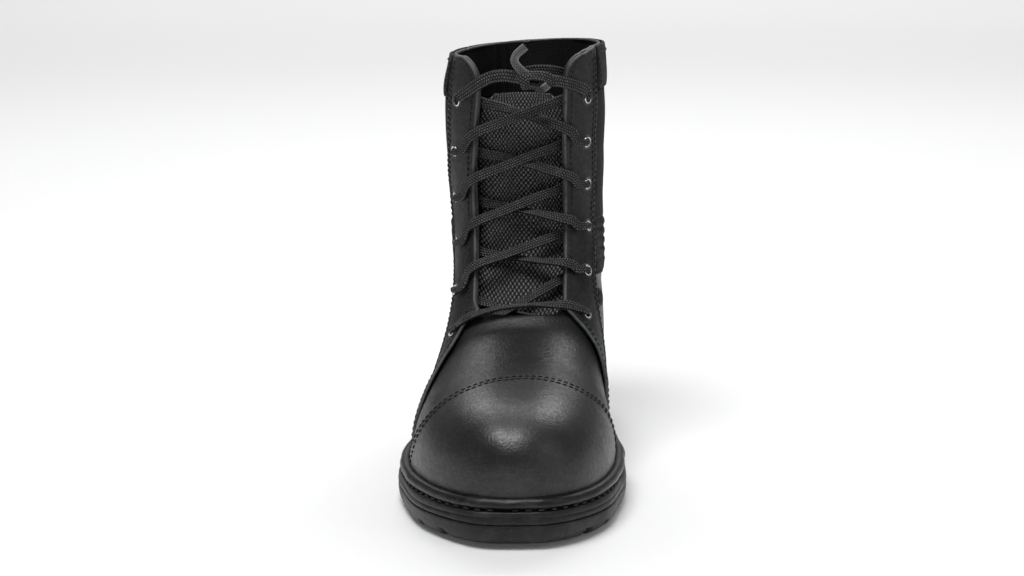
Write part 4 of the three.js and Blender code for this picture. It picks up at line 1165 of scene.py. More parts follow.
def make_welt():
    def level(share):
        return lambda y: sole_top(y) + WELT_GROOVE + share * WELT_LIP

    rings = [sole_ring(out, level(share), lump, 8, 0.35 * lump) for out, share, lump in WELT_LIP_ROWS]
    crest = rings[-1]
    inner = contact_loop(WELT_GROOVE + WELT_LIP - 0.8)
    inner[:, 2] = welt_top(inner[:, 1]) - WELT_TUCK
    for share, drop in WELT_BED_ROWS:
        ring = crest + (inner - crest) * share
        ring[:, 2] = welt_top(ring[:, 1]) - drop
        rings.append(ring)
    deep = inner.copy()
    deep[:, :2] -= feather_out * 0.9
    deep[:, 2] -= 0.6
    rings.append(deep)
    add_piece("welt_lip", *band_mesh(rings), WELT_LOOK, "welt_rubber", ("welt",))
    line = sole_ring(GROOVE_THREAD[0] - GROOVE_DEPTH, lambda y: sole_top(y) + GROOVE_THREAD[1])
    side = np.column_stack([feather_out, np.zeros(len(feather_out))])
    threads.sew([(line, side)], WELT_PITCH, 0.55, 0.55, 0.1)


# The sole's wall from the groove down to the tread: out from the outline, and depth below the
# groove, with two soft steps. The second one is the joint between midsole and outsole.
MIDSOLE_WALL = (
    (-3.0, 0.2), (-1.7, 0.15), (-0.8, 0.2), (-0.3, 0.45), (0.05, 1.0), (0.35, 1.8), (0.5, 2.6), (0.44, 3.0),
    (0.2, 3.3), (0.18, 3.5), (0.45, 3.8), (0.68, 4.3), (0.8, 5.2), (0.75, 6.0), (0.55, 6.35), (0.2, 6.55),
    (-1.6, 6.6),
)
OUTSOLE_WALL = (
    (-1.6, 0.0), (0.2, 0.02), (0.55, 0.05), (0.75, 0.1), (0.8, 0.2), (0.72, 0.34), (0.5, 0.48), (0.15, 0.6),
    (-0.4, 0.72), (-1.1, 0.83), (-2.0, 0.92), (-2.9, 0.98), (-3.8, 1.0),
)


def make_midsole():
    rings = [
        sole_ring(out, lambda y, drop=drop: sole_top(y) - drop, 0.6, 12, 0.7 if 2 < drop < 4.4 else 0.0)
        for out, drop in MIDSOLE_WALL
    ]
    add_piece("midsole_wall", *band_mesh(rings), RUBBER_LOOK, "sole_rubber", ("midsole",))


TREAD_COLUMNS = 56  # faces of the tread from its inner to its outer side
LUG_SLOPE = 0.7  # width of the slope between a lug and its groove
TREAD_SHARES = (0.035, 0.43, HEEL_BREAST, 0.955)  # where the grooves start and end, front and heel


def groove_rise(x, y):
    """How far the grooves between the lugs reach up at a place of the tread."""
    toe_end, arch_start, heel_start, heel_end = (share * UPPER_LENGTH for share in TREAD_SHARES)
    row = y + LUG_CHEVRON * (1 - np.abs(x) / BALL_WIDTH)
    far = np.full(np.shape(x), float(FAR))
    for low, high in ((toe_end + 8, arch_start), (heel_start + 1.2 * LUG_PITCH, heel_end - 0.6 * LUG_PITCH)):
        for k in range(int((high - low) // LUG_PITCH) + 1):
            far = np.minimum(far, np.abs(row - low - k * LUG_PITCH) - LUG_GROOVE / 2)
    for low, high in ((toe_end, arch_start + 8), (heel_start + 8, heel_end - 6)):
        along = np.maximum(low - y, y - high)
        far = np.minimum(far, np.maximum(np.abs(x) - SPINE_GROOVE / 2, along))
    return LUG_DEPTH * np.clip(0.5 - far / LUG_SLOPE, 0, 1)


def make_outsole():
    """The outsole's wall, and its tread with the grooves between the lugs."""

    def top(y):
        return sole_top(y) - MIDSOLE + 0.1

    rings = []
    for out, down in OUTSOLE_WALL:
        ring = sole_ring(out, lambda y, down=down: top(y) + down * (tread(y) - top(y)), 0.6, 12)
        if down > 0.2:
            floor = tread(ring[:, 1]) + groove_rise(ring[:, 0], ring[:, 1])
            ring[:, 2] = np.maximum(ring[:, 2], floor)
        rings.append(ring)
    points, faces = band_mesh(rings)
    count = rings[0].shape[0]
    half = count // 2
    edge = (len(rings) - 1) * count
    bottom, index = [points], []
    shares = np.linspace(0, 1, TREAD_COLUMNS + 1)[1:-1]
    made = len(points)
    for j in range(half + 1):
        a, b = edge + j, edge + (count - j) % count
        if a == b or j == half:
            index.append([a] * (TREAD_COLUMNS + 1))
            continue
        row = points[a] + (points[b] - points[a]) * shares[:, None]
        row[:, 2] = tread(row[:, 1]) + groove_rise(row[:, 0], row[:, 1])
        bottom.append(row)
        index.append([a, *range(made, made + len(row)), b])
        made += len(row)
    flat = [
        [index[j][k], index[j + 1][k], index[j + 1][k + 1], index[j][k + 1]]
        for j in range(half)
        for k in range(TREAD_COLUMNS)
    ]
    flat += [[j, (count - j) % count, (count - j - 1) % count, j + 1] for j in range(half)]
    flat = [face for face in map(without_repeats, flat) if len(set(face)) >= 3]
    smooth = [True] * len(faces) + [False] * len(flat)
    points = np.vstack(bottom)
    body = add_piece("outsole_body", points, faces + flat, RUBBER_LOOK, "sole_rubber", ("outsole",))
    body.data.polygons.foreach_set("use_smooth", smooth)


make_welt()
make_midsole()
make_outsole()

# The upper and what is sewn on it

FINE = 1.6  # mesh spacing, as a share of the one written at each grid


def span(low, high, step):
    return np.linspace(low, high, max(4, int(round((high - low) / (step * FINE)))))


EYELET_HOLE = 3.0  # radius of the leather's hole for an eyelet
EYELET_REACH = 12  # how far from an eyelet along its axis the hole goes


def eyelet_clear(p):
    field = np.full(p.shape[:-1], float(FAR))
    for x, z, at, normal in EYELETS.values():
        gap = p - at
        height = gap @ normal
        away = np.linalg.norm(gap - height[..., None] * normal, axis=-1)
        field = np.minimum(field, np.where(np.abs(height) < EYELET_REACH, away - EYELET_HOLE, FAR))
    return field


def merge(*fields):
    return np.minimum.reduce(fields)


TUCKED = 2.6  # how far the sewn leather goes down behind the welt


def over_welt(p, tucked=0.0):
    return above_sole(p, WELT_GROOVE + WELT_LIP - tucked)


LINING_SEAMS = (-19, -13.5, 24)  # across the shaft
SEAM_HEIGHT = 0.9


def lining_relief(p):
    """Seams and folds of the lining at the shaft's back."""
    lift = ripple(p, 12, 0.9)
    for x in LINING_SEAMS:
        lift += SEAM_HEIGHT * np.exp(-(((p[..., 0] - x) / SEAM_HEIGHT) ** 2))
    return np.where(p[..., 1] > MID_SHAFT, -lift, 0)


def make_upper():
    skin = Skin(span(0, LAST_ROW, 0.08), span(-1, 1, 0.0075), 0.0, creases)
    p = skin.base
    field = merge(below_collar(p), outside_throat(p), above_sole(p, -1.0), eyelet_clear(p))
    panel("upper_wall", skin, field, LEATHER_LOOK, "leather", ("upper",), WALL / 2, math.pi, steps=6)
    inside = Skin(span(1, LAST_ROW, 0.1), span(-1, 1, 0.005), -WALL, lining_relief)
    q = inside.base
    field = merge(below_collar(q, 1.0), outside_throat(q) - 1.0, above_sole(q, 0.5))
    cut = Cut(inside, field, flat=inside.flat)
    cut.weld()
    faces = [face[::-1] for face in cut.faces]
    add_piece("lining", cut.points, faces, LINING_LOOK, "lining", (), -cut.normals, cut.marks)


SEWN = GAP + LEATHER  # top of the leather sewn onto the upper, above the last
SEAM_PITCH = 3.2  # length of a stitch and the gap after it, along most seams


def make_cap():
    skin = Skin(span(0, 7.2, 0.04), span(-1, 1, 0.006), SEWN, creases)
    p = skin.base
    field = merge(within_cap(p), over_welt(p, TUCKED))
    panel("cap", skin, field, CAP_LOOK, "leather", ("toe_cap",), 0.7, down=1.0)
    for level in (2.0, 5.8):
        threads.sew(contour(skin, within_cap(p), level, over_welt(p)), 3.4, 0.8, 0.4)


FLARE = 1.6  # how far the quarters' front edges stand off the vamp
FLARE_WIDTH = 5
FLARE_FROM, FLARE_FULL = 40, 65  # heights where that begins and where it is whole


def quarter_relief(p):
    """The leather's creases, and the front edge that stands off the vamp."""
    rise = np.clip((p[..., 2] - FLARE_FROM) / (FLARE_FULL - FLARE_FROM), 0, 1)
    return creases(p) + FLARE * np.exp(-((behind_front(p) / FLARE_WIDTH) ** 2)) * rise


def make_eyestay(side):
    ws = span(0.1, 0.98, 0.006) * side
    skin = Skin(span(5.2, LAST_ROW, 0.06), np.sort(ws), SEWN, quarter_relief)
    p = skin.base
    throat, back, front = outside_throat(p), ahead_of_back(p), behind_front(p)
    collar, sole = below_collar(p), over_welt(p)
    field = merge(throat, back, front, over_welt(p, TUCKED), collar, eyelet_clear(p))
    name = f"eyestay_{side_name(side)}"
    panel(f"quarter_{side_name(side)}", skin, field, QUARTER_LOOK, "leather", (name,), 0.85, math.pi, steps=6)
    threads.sew(contour(skin, throat, 3.4, merge(back - 1, front - 1, collar - 1, sole)), SEAM_PITCH)
    inside = merge(throat - 3.4, front - 1, collar - 1, sole)
    for level in (2.0, 4.2):
        threads.sew(contour(skin, back, level, inside), SEAM_PITCH)
    inside = merge(throat - 3.4, back - 4.2, sole)
    for level in (2.4, 4.8):
        threads.sew(contour(skin, front, level, inside), SEAM_PITCH)


def make_sides():
    shaft = span(11.5, LAST_ROW, 0.06)
    for side in (1, -1):
        ws = np.sort(span(0.2, 1.0, 0.006) * side)
        name = side_name(side)
        plain = Skin(shaft, ws, GAP + CLOTH, cloth_relief)
        p = plain.base
        behind = -ahead_of_back(p) - 0.5
        stay = off_backstay(p) - 0.5
        field = merge(behind, stay, below_collar(p, BAND_HEIGHT + 0.5), -ankle_line(p, -0.5))
        panel(f"cloth_{name}", plain, field, NYLON_LOOK, "nylon", (f"shaft_cloth_{name}",), 0.4, down=0.6)
        ribbed = Skin(shaft, ws, GAP + CLOTH, rib_relief)
        field = merge(behind, stay, ankle_line(p), -ankle_line(p, ANKLE_PANEL_HEIGHT))
        stands_for = (f"ankle_panel_{name}",)
        panel(f"ribs_{name}", ribbed, field, RIBBED_LOOK, "ribbed_nylon", stands_for, 0.4, down=1.2)


def cloth_relief(p):
    return swelling(p) + ripple(p, 13, 0.35)


RIB_HEIGHT = 1.0  # of the ankle panel's ribs


def rib_relief(p):
    pitch = ANKLE_PANEL_HEIGHT / (ANKLE_RIBS + 0.5)
    down = ankle_line(p)
    share = (down / pitch) % 1
    swell = np.sin(math.pi * np.clip((share - 0.12) / 0.76, 0, 1)) ** 0.6
    edge = np.clip(np.minimum(down, ANKLE_PANEL_HEIGHT - down) / 2, 0, 1)
    return swelling(p) + RIB_HEIGHT * swell * edge


BAND_BULGE = 0.9


def make_band():
    skin = Skin(span(17.5, LAST_ROW, 0.05), span(0.2, 1.8, 0.006), GAP + WEBBING, band_relief)
    p = skin.base
    behind = -ahead_of_back(p) - 0.5
    collar = below_collar(p)
    field = merge(behind, collar, -below_collar(p, BAND_HEIGHT))
    panel("band", skin, field, WEBBING_LOOK, "webbing", ("collar_band",), 0.8, down=1.0)
    inside = merge(behind - 1, -below_collar(p, BAND_HEIGHT) - 1)
    threads.sew(contour(skin, collar, 4, inside), SEAM_PITCH)
    inside = merge(collar - 2, -below_collar(p, BAND_HEIGHT) - 2)
    threads.sew(contour(skin, behind, 2.2, inside), SEAM_PITCH)


def band_relief(p):
    """The band bulges a little between its edges, as a padded collar does."""
    share = np.clip(below_collar(p) / BAND_HEIGHT, 0, 1)
    return swelling(p) + BAND_BULGE * np.sin(math.pi * share) ** 0.7 + ripple(p, 9, 0.3)


def make_backstay():
    skin = Skin(span(13.5, LAST_ROW, 0.05), span(0.7, 1.3, 0.004), SEWN)
    p = skin.base
    stay = np.where(p[..., 1] > MID_SHAFT, BACKSTAY_HALF - np.abs(p[..., 0] - AXIS_SHIFT), -9)
    top = below_collar(p, BAND_HEIGHT + 0.4)
    field = merge(stay, top, over_welt(p, TUCKED))
    panel("stay", skin, field, LEATHER_LOOK, "leather", ("backstay",), 0.7, down=1.0)
    threads.sew(contour(skin, stay, 2.2, merge(top - 1, over_welt(p))), SEAM_PITCH)


make_upper()
make_cap()
for side in (1, -1):
    make_eyestay(side)
make_sides()
make_band()
make_backstay()


TONGUE_LEAN = 7  # how far its top leans back into the shaft
TONGUE_BELOW = 12  # how far it reaches below the throat's floor
TONGUE_SHORT = 24  # how far its top stays below the collar


def make_tongue():
    half = curve([(0, 27), (0.1, 31), (0.6, 31), (0.93, 27), (1, 20)])
    low, high = THROAT_FLOOR - TONGUE_BELOW, collar_front - TONGUE_SHORT
    rises = np.linspace(0, 1, 90)
    shares = np.linspace(-1, 1, 60)
    front = []
    for rise in rises:
        z = low + (high - low) * rise
        row = []
        for a in shares:
            point, normal = spot(3 + a * float(half(rise)), z)
            lean = TONGUE_LEAN * max(0.0, (rise - 0.86) / 0.14) ** 2
            row.append(point - normal * (TONGUE_DROP + TONGUE_SAG * (1 - a * a) + lean))
        front.append(row)
    front = np.array(front)
    normal = grid_normals(front)
    normal *= -np.sign(normal[..., 1].mean())
    back = front - normal * TONGUE
    rows, columns = front.shape[:2]
    faces = []
    for i in range(rows - 1):
        for j in range(columns - 1):
            a = i * columns + j
            faces.append([a, a + 1, a + columns + 1, a + columns])
    count = rows * columns
    faces += [[v + count for v in face[::-1]] for face in faces]
    edge = list(range(columns))
    edge += [i * columns + columns - 1 for i in range(1, rows)]
    edge += [(rows - 1) * columns + j for j in range(columns - 2, -1, -1)]
    edge += [i * columns for i in range(rows - 2, 0, -1)]
    for a, b in zip(edge, edge[1:] + edge[:1]):
        faces.append([b, a, a + count, b + count])
    points = np.vstack([front.reshape(-1, 3), back.reshape(-1, 3)])
    flat = np.zeros((rows, columns, 3))
    flat[..., 0] = shares[None, :] * 31
    flat[..., 1] = (rises * (high - low))[:, None]
    marks = {"flat": np.vstack([flat.reshape(-1, 3)] * 2)}
    add_piece("tongue_sheet", points, faces, TONGUE_LOOK, "tongue_weave", ("tongue",), marks=marks)


make_tongue()


def circle_round(normal, count):
    """A circle's points in the plane across a normal, and the plane's two axes."""
    reach = unit(np.cross(normal, [0, 0, 1.0]))
    other = np.cross(normal, reach)
    turn = 2 * math.pi * np.arange(count)[:, None] / count
    return np.cos(turn) * reach + np.sin(turn) * other, reach, other


# Sections of the rings, closed: radius, and height along the axis
SEAT = SEWN + GAP
EYELET_SIDES, VENT_SIDES = 32, 36
EYELET_RING = (
    (2.0, -2.6), (2.5, -2.5), (2.45, -1.0), (2.35, SEAT - 0.1), (3.0, SEAT - 0.1), (3.15, SEAT + 0.1),
    (3.1, SEAT + 0.35), (2.95, SEAT + 0.55), (2.65, SEAT + 0.66), (2.35, SEAT + 0.58), (2.1, SEAT + 0.35),
    (2.0, SEAT), (2.0, -1.0),
)
VENT_RING = ((3.6, -0.6), (4.9, -0.6), (5.0, -0.1), (4.8, 0.2), (4.4, 0.32), (3.9, 0.2), (3.6, -0.2))


def make_eyelet(row, side):
    x, z, at, normal = EYELETS[row, side]
    circle = circle_round(normal, EYELET_SIDES)[0]
    points, faces = band_mesh([at + normal * h + r * circle for r, h in EYELET_RING], closed_rows=True)
    end = f"{side_name(side)}_{row + 1}"
    add_piece(f"ring_{end}", points, faces, NICKEL_LOOK, "nickel", (f"eyelet_{end}",))


for row, side in EYELETS:
    make_eyelet(row, side)

VENT_AT = {1: (48, 176, 88), -1: (-46, 176, 86)}
VENT_ROWS, VENT_COLUMNS = (8, 16, 200), (0.3, 1, 160)  # the part of the last to look for it
VENT_RADIUS, VENT_DOME = 3.7, 0.3  # of the mesh inside its ring
UNWORN = 9.0  # a distance from an edge at which leather isn't worn


def make_vent(side):
    """A small round mesh vent in the quarter, below the ankle panel."""
    skin = Skin(np.linspace(*VENT_ROWS), side * np.linspace(*VENT_COLUMNS), GAP, creases)
    far = np.linalg.norm(skin.points - np.array(VENT_AT[side], float), axis=-1)
    k = np.unravel_index(int(np.argmin(far)), far.shape)
    at, normal = skin.points[k], skin.normal[k]
    circle, reach, other = circle_round(normal, VENT_SIDES)
    points, faces = band_mesh([at + normal * h + r * circle for r, h in VENT_RING], closed_rows=True)
    marks = {"edge_far": np.full(len(points), UNWORN)}
    add_piece(f"vent_ring_{side_name(side)}", points, faces, QUARTER_LOOK, "leather", marks=marks)
    shares = np.linspace(0, 1, 8)
    discs = [
        at + normal * (VENT_DOME * (1 - s * s) - 0.1) + (VENT_RADIUS * s + 0.01) * circle for s in shares
    ]
    points, faces = band_mesh(discs)
    gap = points - at
    marks = {"flat": np.stack([gap @ reach, gap @ other, np.zeros(len(points))], axis=1)}
    add_piece(f"vent_mesh_{side_name(side)}", points, faces, NYLON_LOOK, "nylon", marks=marks)


make_vent(1)
make_vent(-1)

# The laces

LACE_OVER = 3.8  # middle of a lace on an eyestay, above the last
LACE_UNDER = -4.5  # and behind the upper's wall
BUNCHED = (0.42, 1.7)  # shares of its width and thickness in an eyelet
HOLE_IN, HOLE_OUT = -2.5, 2.6  # where it enters and leaves an eyelet, along the eyelet's axis
LACE_RIDGES = 4
RIDGE_STEPS = 5  # points across each ridge
BRAID_PITCH = 1.5  # length of one stitch of the braid
BRAID_DEPTH = 0.26
BRAID_LEAN = 0.55  # how far a stitch of the braid leans across its ridge
PALE_FADE = 0.3  # share of a worn lace's length over which it turns pale
LACE_CURL = (0.8, 1.25)  # shares of the lace's width and thickness that it shows
LACE_PITCH = 0.36  # length of a lace between two rings of its mesh


def lace_ring():
    """The lace's section: places across as shares, heights as shares, and each place's ridge."""
    across = np.linspace(-1, 1, LACE_RIDGES * RIDGE_STEPS + 1)
    share = (across + 1) / 2 * LACE_RIDGES
    ridge = np.minimum(np.floor(share), LACE_RIDGES - 1)
    swell = np.sin(math.pi * np.clip(share - ridge, 0.04, 0.96)) ** 0.55
    height = (0.3 + 0.7 * swell) * (1 - 0.35 * np.abs(across) ** 4)
    return (
        np.concatenate([across, across[::-1]]),
        np.concatenate([height, -height[::-1]]),
        np.concatenate([ridge, ridge[::-1]]),
        np.concatenate([swell, swell[::-1]]),
    )


RING_ACROSS, RING_HEIGHT, RING_RIDGE, RING_SWELL = lace_ring()


def mix(start, end, low, high, t):
    return start + (end - start) * (t - low) / (high - low)


def through(points, count):
    """Places along a smooth curve through points, as many for each stretch, with their stretch."""
    points = np.asarray(points, float)
    ends = [2 * points[0] - points[1], *points, 2 * points[-1] - points[-2]]
    steps = np.maximum(np.linalg.norm(np.diff(ends, axis=0), axis=1), 1e-6) ** 0.5
    knots = np.concatenate([[0], np.cumsum(steps)])
    found, stretch = [], []
    for i in range(len(points) - 1):
        p0, p1, p2, p3 = (np.asarray(ends[i + k]) for k in range(4))
        t0, t1, t2, t3 = knots[i : i + 4]
        last = i == len(points) - 2
        for step in range(count + (1 if last else 0)):
            share = step / count
            t = t1 + (t2 - t1) * share
            a1, a2, a3 = mix(p0, p1, t0, t1, t), mix(p1, p2, t1, t2, t), mix(p2, p3, t2, t3, t)
            b1, b2 = mix(a1, a2, t0, t2, t), mix(a2, a3, t1, t3, t)
            found.append(mix(b1, b2, t1, t2, t))
            stretch.append(i + share)
    return np.array(found), np.array(stretch)


class Ribbon:
    """A braided lace through places: a point, the way its flat side looks, and then, as shares of
    the lace's own, its width and thickness, and its twist in degrees. From a share pale of its
    length on, it's worn pale."""

    def __init__(self, places, along=0.0, pale=1.0):
        dense, stretch = through([place[0] for place in places], 14)
        run = lengths_along(dense)
        at = np.linspace(0, run[-1], max(6, int(run[-1] / LACE_PITCH)))
        self.line = pick(at, run, dense)
        self.length = run[-1]
        where = np.interp(at, run, stretch)
        count = np.arange(len(places))
        out = pick(where, count, np.array([place[1] for place in places], float))
        extra = np.array([[*place[2:], *(1, 1, 0)[len(place) - 2 :]] for place in places], float)
        wide, thick, twist = pick(where, count, extra).T
        tangent = unit(np.gradient(self.line, axis=0))
        side = unit(np.cross(tangent, out))
        above = np.cross(side, tangent)
        turn = np.radians(twist)[:, None]
        across = side * np.cos(turn) + above * np.sin(turn)
        up = above * np.cos(turn) - side * np.sin(turn)
        lean = np.where(RING_RIDGE % 2 == 0, 1, -1) * BRAID_LEAN
        phase = (at + along)[:, None] / BRAID_PITCH + 0.5 * RING_RIDGE + lean * RING_ACROSS * LACE_RIDGES / 2
        stitch = 0.5 + 0.5 * np.cos(2 * math.pi * phase)
        w = RING_ACROSS[None, :, None] * (LACE_WIDTH / 2 * LACE_CURL[0] * wide)[:, None, None]
        h = RING_HEIGHT[None, :] * (LACE_THICK / 2 * LACE_CURL[1] * thick)[:, None]
        h = (h * (1 - BRAID_DEPTH * (1 - stitch)))[..., None]
        rings = self.line[:, None, :] + w * across[:, None, :] + h * up[:, None, :]
        self.points, self.faces = band_mesh(rings)
        sides = len(RING_ACROSS)
        last = (len(rings) - 1) * sides
        self.faces.append(list(range(sides)))
        self.faces.append([last + s for s in reversed(range(sides))])
        worn = np.clip((at / run[-1] - pale) / PALE_FADE, 0, 1)[:, None] * (0.35 + 0.65 * RING_ACROSS**2)
        # The tip mark is where the lace's material paints its sheen on the braid's crests, and its painted
        # shade between the strands where the mark is low.
        self.marks = {"tip": (RING_SWELL[None, :] * stitch).ravel(), "pale": worn.ravel()}

    def add(self, name, *stands_for, others=()):
        """Makes one piece of this ribbon and others."""
        ribbons = [self, *others]
        faces, base = [], 0
        for ribbon in ribbons:
            faces += [[v + base for v in face] for face in ribbon.faces]
            base += len(ribbon.points)
        points = np.vstack([ribbon.points for ribbon in ribbons])
        marks = {key: np.concatenate([ribbon.marks[key] for ribbon in ribbons]) for key in self.marks}
        return add_piece(name, points, faces, LACE_LOOK, "lace", stands_for, marks=marks)


def on_front(x, z, out, *extra):
    point, normal = spot(x, z, out)
    return (point, normal, *extra)


def in_hole(row, side, height):
    """A place on an eyelet's axis, where the lace is bunched."""
    x, z, at, normal = EYELETS[row, side]
    ahead = np.array([-side * 0.9, -0.3, 0.0])
    return (at + normal * height, unit(ahead), *BUNCHED)


# How high a strand stands where it leaves its own eyestay, as shares of its whole rise
FIRST_RISES = (0.05, 0.15, 0.3)
OTHER_RISES = (0.1, 0.3, 0.44)
STRAND_DIP = {-1: 0.0, 1: 2.1}  # a strand from the inner side passes below the other one
STRAND_TWIST = {-1: 8, 1: -48}


def strand(row, side):
    """From an eyelet over its own eyestay, across the tongue and behind the other eyestay."""
    x0, z0 = EYELETS[row, side][:2]
    x1, z1 = EYELETS[row + 1, -side][:2]

    def height(share):
        return z0 + (z1 - z0) * share

    first, second, third = (height(share) for share in (FIRST_RISES if row == 0 else OTHER_RISES))
    begin = LACE_UNDER if row == 0 else LACE_OVER
    near = float(throat_edge(third, side))
    far = float(throat_edge(height(0.95), -side))
    leave = on_front(near - side * 2, third, begin - (0 if row == 0 else 0.4))
    arrive = on_front(far + side, height(0.95), LACE_UNDER)
    dip, twist = STRAND_DIP[side], STRAND_TWIST[side]
    uneven = 1 + 0.12 * math.sin(3.1 * row + side)

    def between(t):
        out = unit(leave[1] * (1 - t) + arrive[1] * t)
        sag = dip + 0.8 * math.sin(math.pi * t)
        return (leave[0] * (1 - t) + arrive[0] * t - out * sag, out, 0.93, 1, twist * uneven)

    if row == 0:
        start = [in_hole(row, side, -2.0), on_front(x0 - side * 5.5, first, begin, 0.9)]
    else:
        start = [
            in_hole(row, side, HOLE_IN),
            in_hole(row, side, HOLE_OUT),
            on_front(x0 - side * 2.8, z0 + 0.5, LACE_OVER + 0.5, 0.66, 1.25),
            on_front(x0 - side * 6.2, first, LACE_OVER, 0.92, 1.05),
        ]
    return Ribbon(
        [
            *start,
            on_front(near + side * 3, second, begin),
            (*leave, 0.97, 1, twist * 0.3),
            between(0.3),
            between(0.5),
            between(0.7),
            (*arrive, 0.95, 1, twist * 0.3),
            on_front(far - side * 3, height(0.98), LACE_UNDER),
            on_front(x1 + side * 5, z1, LACE_UNDER, 0.8),
            in_hole(row + 1, -side, HOLE_IN),
            in_hole(row + 1, -side, 1.2),
        ],
        along=13.7 * row + 40 * side,
    )


BAR_RISE = 9  # how far the bar's middle stands above the line between its eyelets
BAR_OVER = 3.1  # how far above the last it lies on the vamp


def make_bar():
    """The lace over the vamp's edge, between the two lowest eyelets."""
    x0, z0 = EYELETS[0, -1][:2]
    x1, z1 = EYELETS[0, 1][:2]

    def height(share):
        return z0 + (z1 - z0) * share + BAR_RISE * math.sin(math.pi * share) ** 0.6

    near = float(throat_edge(height(0.2), -1))
    far = float(throat_edge(height(0.8), 1))
    Ribbon(
        [
            in_hole(0, -1, HOLE_IN),
            in_hole(0, -1, HOLE_OUT),
            on_front(x0 + 2.8, z0 + 1.2, LACE_OVER + 0.5, 0.7, 1.25),
            on_front(x0 + 6, height(0.09), LACE_OVER, 0.95),
            on_front(near, height(0.2), LACE_OVER, 1, 1, 8),
            on_front(0.4 * near, height(0.4), BAR_OVER + 0.6, 0.9, 1, 34),
            on_front(0.3 * far, height(0.58), BAR_OVER + 0.8, 0.86, 1, 42),
            on_front(0.75 * far, height(0.72), BAR_OVER + 0.6, 0.95, 1, 18),
            on_front(far + 2, height(0.83), LACE_OVER, 1, 1, 0),
            on_front(x1 - 6, height(0.92), LACE_OVER, 0.95),
            on_front(x1 - 2.8, z1 + 1.2, LACE_OVER + 0.5, 0.7, 1.25),
            in_hole(0, 1, HOLE_OUT),
            in_hole(0, 1, HOLE_IN),
        ]
    ).add("bar", "lace_bar")


# The free ends: their points in millimetres from the part's origin, as in its source
OUTER_TIE = [
    (-34.3, 30.5, 200.6), (-32.7, 27.8, 202.8), (-29.9, 25.3, 204.8), (-26.2, 22.8, 206.9),
    (-22.2, 20.2, 209.2), (-17.6, 18, 211.3), (-12.6, 16.4, 212.8), (-7.2, 15.3, 213.3),
    (-3, 14.7, 212.9), (0.9, 14.1, 212.2),
]
OUTER_END = [
    (5.6, 10.6, 214.2), (3.4, 11.2, 216.2), (1, 12.4, 218.6), (-0.4, 13.8, 221.2), (0.5, 15.2, 224),
    (3.2, 16.4, 226.6), (5.4, 17.2, 228.4),
]
INNER_TIE = [
    (41.2, 33.2, 201.6), (39.6, 31, 204), (37.2, 28.2, 206.2), (33.8, 25.2, 208.2), (30, 22.4, 209.8),
    (26, 19.8, 210.8), (22.6, 17.8, 211), (18.9, 15.9, 210.6),
]
INNER_END = [
    (4.2, 19.5, 214.2), (8.2, 20.3, 215), (12.6, 21.7, 215.3), (17, 23.5, 215), (21.4, 26, 214.1),
    (25.4, 29.1, 212.6), (28.6, 32.8, 210.4), (30.6, 37, 207.6),
]
KNOT_MIDDLE = (10.4, 14.8, 210.9)
LEG_MIDDLE = 68  # the leg's middle, which the free ends look away from
TOP_ROW = EYELET_ROWS - 1
# How far the ties hang below those points, from the third one on
OUTER_SAG = (3.4, 3.0, 2.2, 1.2, 0.6, 0.3, 0.2, 0)
INNER_SAG = (2.6, 2.4, 2.2, 1.8, 1.2, 0.5)


def cord_place(point, *extra):
    x, y, z = point
    out = np.array([x, y - LEG_MIDDLE, 0.0])
    return (np.array([x + ORIGIN[0], y + ORIGIN[1], z]), unit(out), *extra)


# The knot's strands: millimetres from its middle across, towards the viewer and up, and then
# the share of the lace's width and its twist in degrees
KNOT_STRANDS = (
    (
        (-9, 1.5, 0.5, 1, 0), (-5.5, 3.6, 1.6, 1, 10), (-1, 4.6, 2.6, 1, 14), (4, 4.4, 2.2, 1, 8),
        (9, 2.6, 0.4, 1, 0),
    ),
    (
        (-8, 0.5, -1.2, 1, 0), (-4, 2.4, -2.8, 1, -12), (1, 3.0, -3.6, 1, -16), (6, 2.4, -2.4, 1, -8),
        (10, 1, -0.4, 1, 0),
    ),
    (
        (-4.6, -2.6, 2.2, 0.95, 0), (-5.2, 1.6, 4.2, 0.95, 0), (-5.4, 4.9, 2.4, 0.95, 0),
        (-5.2, 5.4, -1.4, 0.95, 0), (-4.4, 3.0, -4.2, 0.95, 0), (-3.6, -1.4, -3.8, 0.95, 0),
    ),
    (
        (0.4, 3.2, -4.4, 0.8, 10), (3.0, 4.6, -4.9, 0.8, 10), (5.6, 5.2, -3.6, 0.78, 10),
        (7.4, 5.0, -2.2, 0.72, 10),
    ),
)
KNOT_PALE = (1, 1, 1, 0.45)  # where along each strand it turns pale


def knot_place(across, ahead, up, wide, twist):
    x, y, z = KNOT_MIDDLE
    out = np.array([0.0, -max(0.3, ahead), 0.9 * up])
    point = np.array([x + across + ORIGIN[0], y - ahead + ORIGIN[1], z + up])
    return (point, unit(out), wide, 1, twist)


def tie(side, points, sags, wide):
    """A tie's places: in its top eyelet, and then along its points as it hangs below them."""
    return [in_hole(TOP_ROW, side, -2.0), in_hole(TOP_ROW, side, HOLE_OUT)] + [
        cord_place((x, y, z - sag), wide, 1) for (x, y, z), sag in zip(points[2:], sags)
    ]


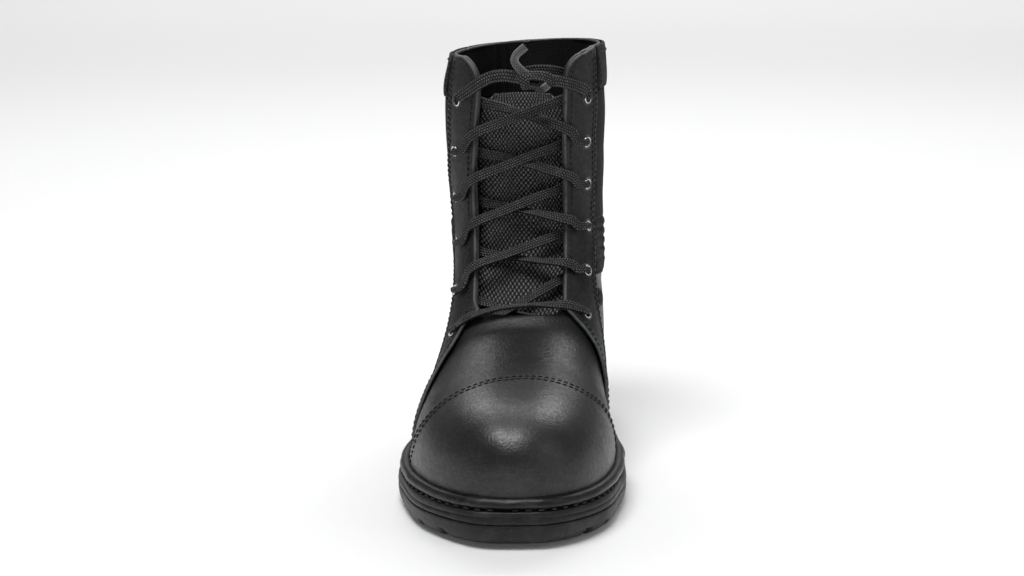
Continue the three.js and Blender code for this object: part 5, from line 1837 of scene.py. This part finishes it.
def make_ends():
    outer = Ribbon(
        tie(-1, OUTER_TIE, OUTER_SAG, 1.15)
        + [cord_place((4.4, 11.6, 212.6), 0.9, 1.1)]
        + [cord_place(point, 0.78, 1, 12) for point in OUTER_END],
        pale=0.62,
    )
    inner = Ribbon(
        tie(1, INNER_TIE, INNER_SAG, 1.1)
        + [cord_place(KNOT_MIDDLE, 0.9, 1.1), cord_place((4.6, 16.6, 212.4), 0.85, 1.1)]
        + [cord_place(point) for point in INNER_END]
    )
    knot = [
        Ribbon([knot_place(*place) for place in places], along=90, pale=pale)
        for places, pale in zip(KNOT_STRANDS, KNOT_PALE)
    ]
    knot = knot[0].add("knot", "lace_knot", others=knot[1:])
    outer_piece = outer.add("free_outer", "lace_tie_outer", "lace_end_outer")
    inner_piece = inner.add("free_inner", "lace_tie_inner", "lace_end_inner")


def make_laces():
    make_bar()
    for row in range(TOP_ROW):
        pair = [strand(row, side) for side in (-1, 1)]
        pair[0].add(f"crossing_{row + 1}", f"lace_cross_{row + 1}", others=pair[1:])
    make_ends()


make_laces()

add_piece("stitches", threads.points, threads.faces, THREAD_LOOK, "leather")


# Floor and light


FLOOR_HALF = 6.0  # metres


def make_stage():
    floor = bpy.data.meshes.new("floor")
    corners = [(x * FLOOR_HALF, y * FLOOR_HALF, 0) for x, y in ((-1, -1), (1, -1), (1, 1), (-1, 1))]
    floor.from_pydata(corners, [], [(0, 1, 2, 3)])
    obj = bpy.data.objects.new("floor", floor)
    bpy.context.collection.objects.link(obj)
    g = Graph("floor_look", (0.93, 0.93, 0.935), 0.7, Specular_IOR_Level=0.2)
    g.set("Emission Color", (1, 1, 1, 1))
    g.set("Emission Strength", 0.05)
    floor.materials.append(g.material)
    world = bpy.data.worlds.new("world")
    bpy.context.scene.world = world
    world.use_nodes = True
    sky = world.node_tree.nodes["Background"].inputs
    sky["Color"].default_value = (0.97, 0.98, 1, 1)
    sky["Strength"].default_value = 0.14
    bpy.context.scene.view_settings.view_transform = "Standard"


def area_light(name, at, size, power, target=(0, 0, 0.1)):
    data = bpy.data.lights.new(name, "AREA")
    data.shape = "RECTANGLE"
    data.size, data.size_y = size
    data.energy = power
    obj = bpy.data.objects.new(name, data)
    obj.location = at
    obj.rotation_euler = (Vector(target) - Vector(at)).to_track_quat("-Z", "Y").to_euler()
    bpy.context.collection.objects.link(obj)


make_stage()
area_light("key", (-0.25, -0.48, 1.75), (1.0, 0.7), 22)
area_light("fill", (1.3, -0.7, 0.9), (0.5, 1.0), 2.5)
area_light("back", (0.1, 1.3, 1.4), (1.6, 0.7), 9)
area_light("far", (0.0, 3.6, 3.0), (5.0, 3.0), 110, (0, 3.6, 0))
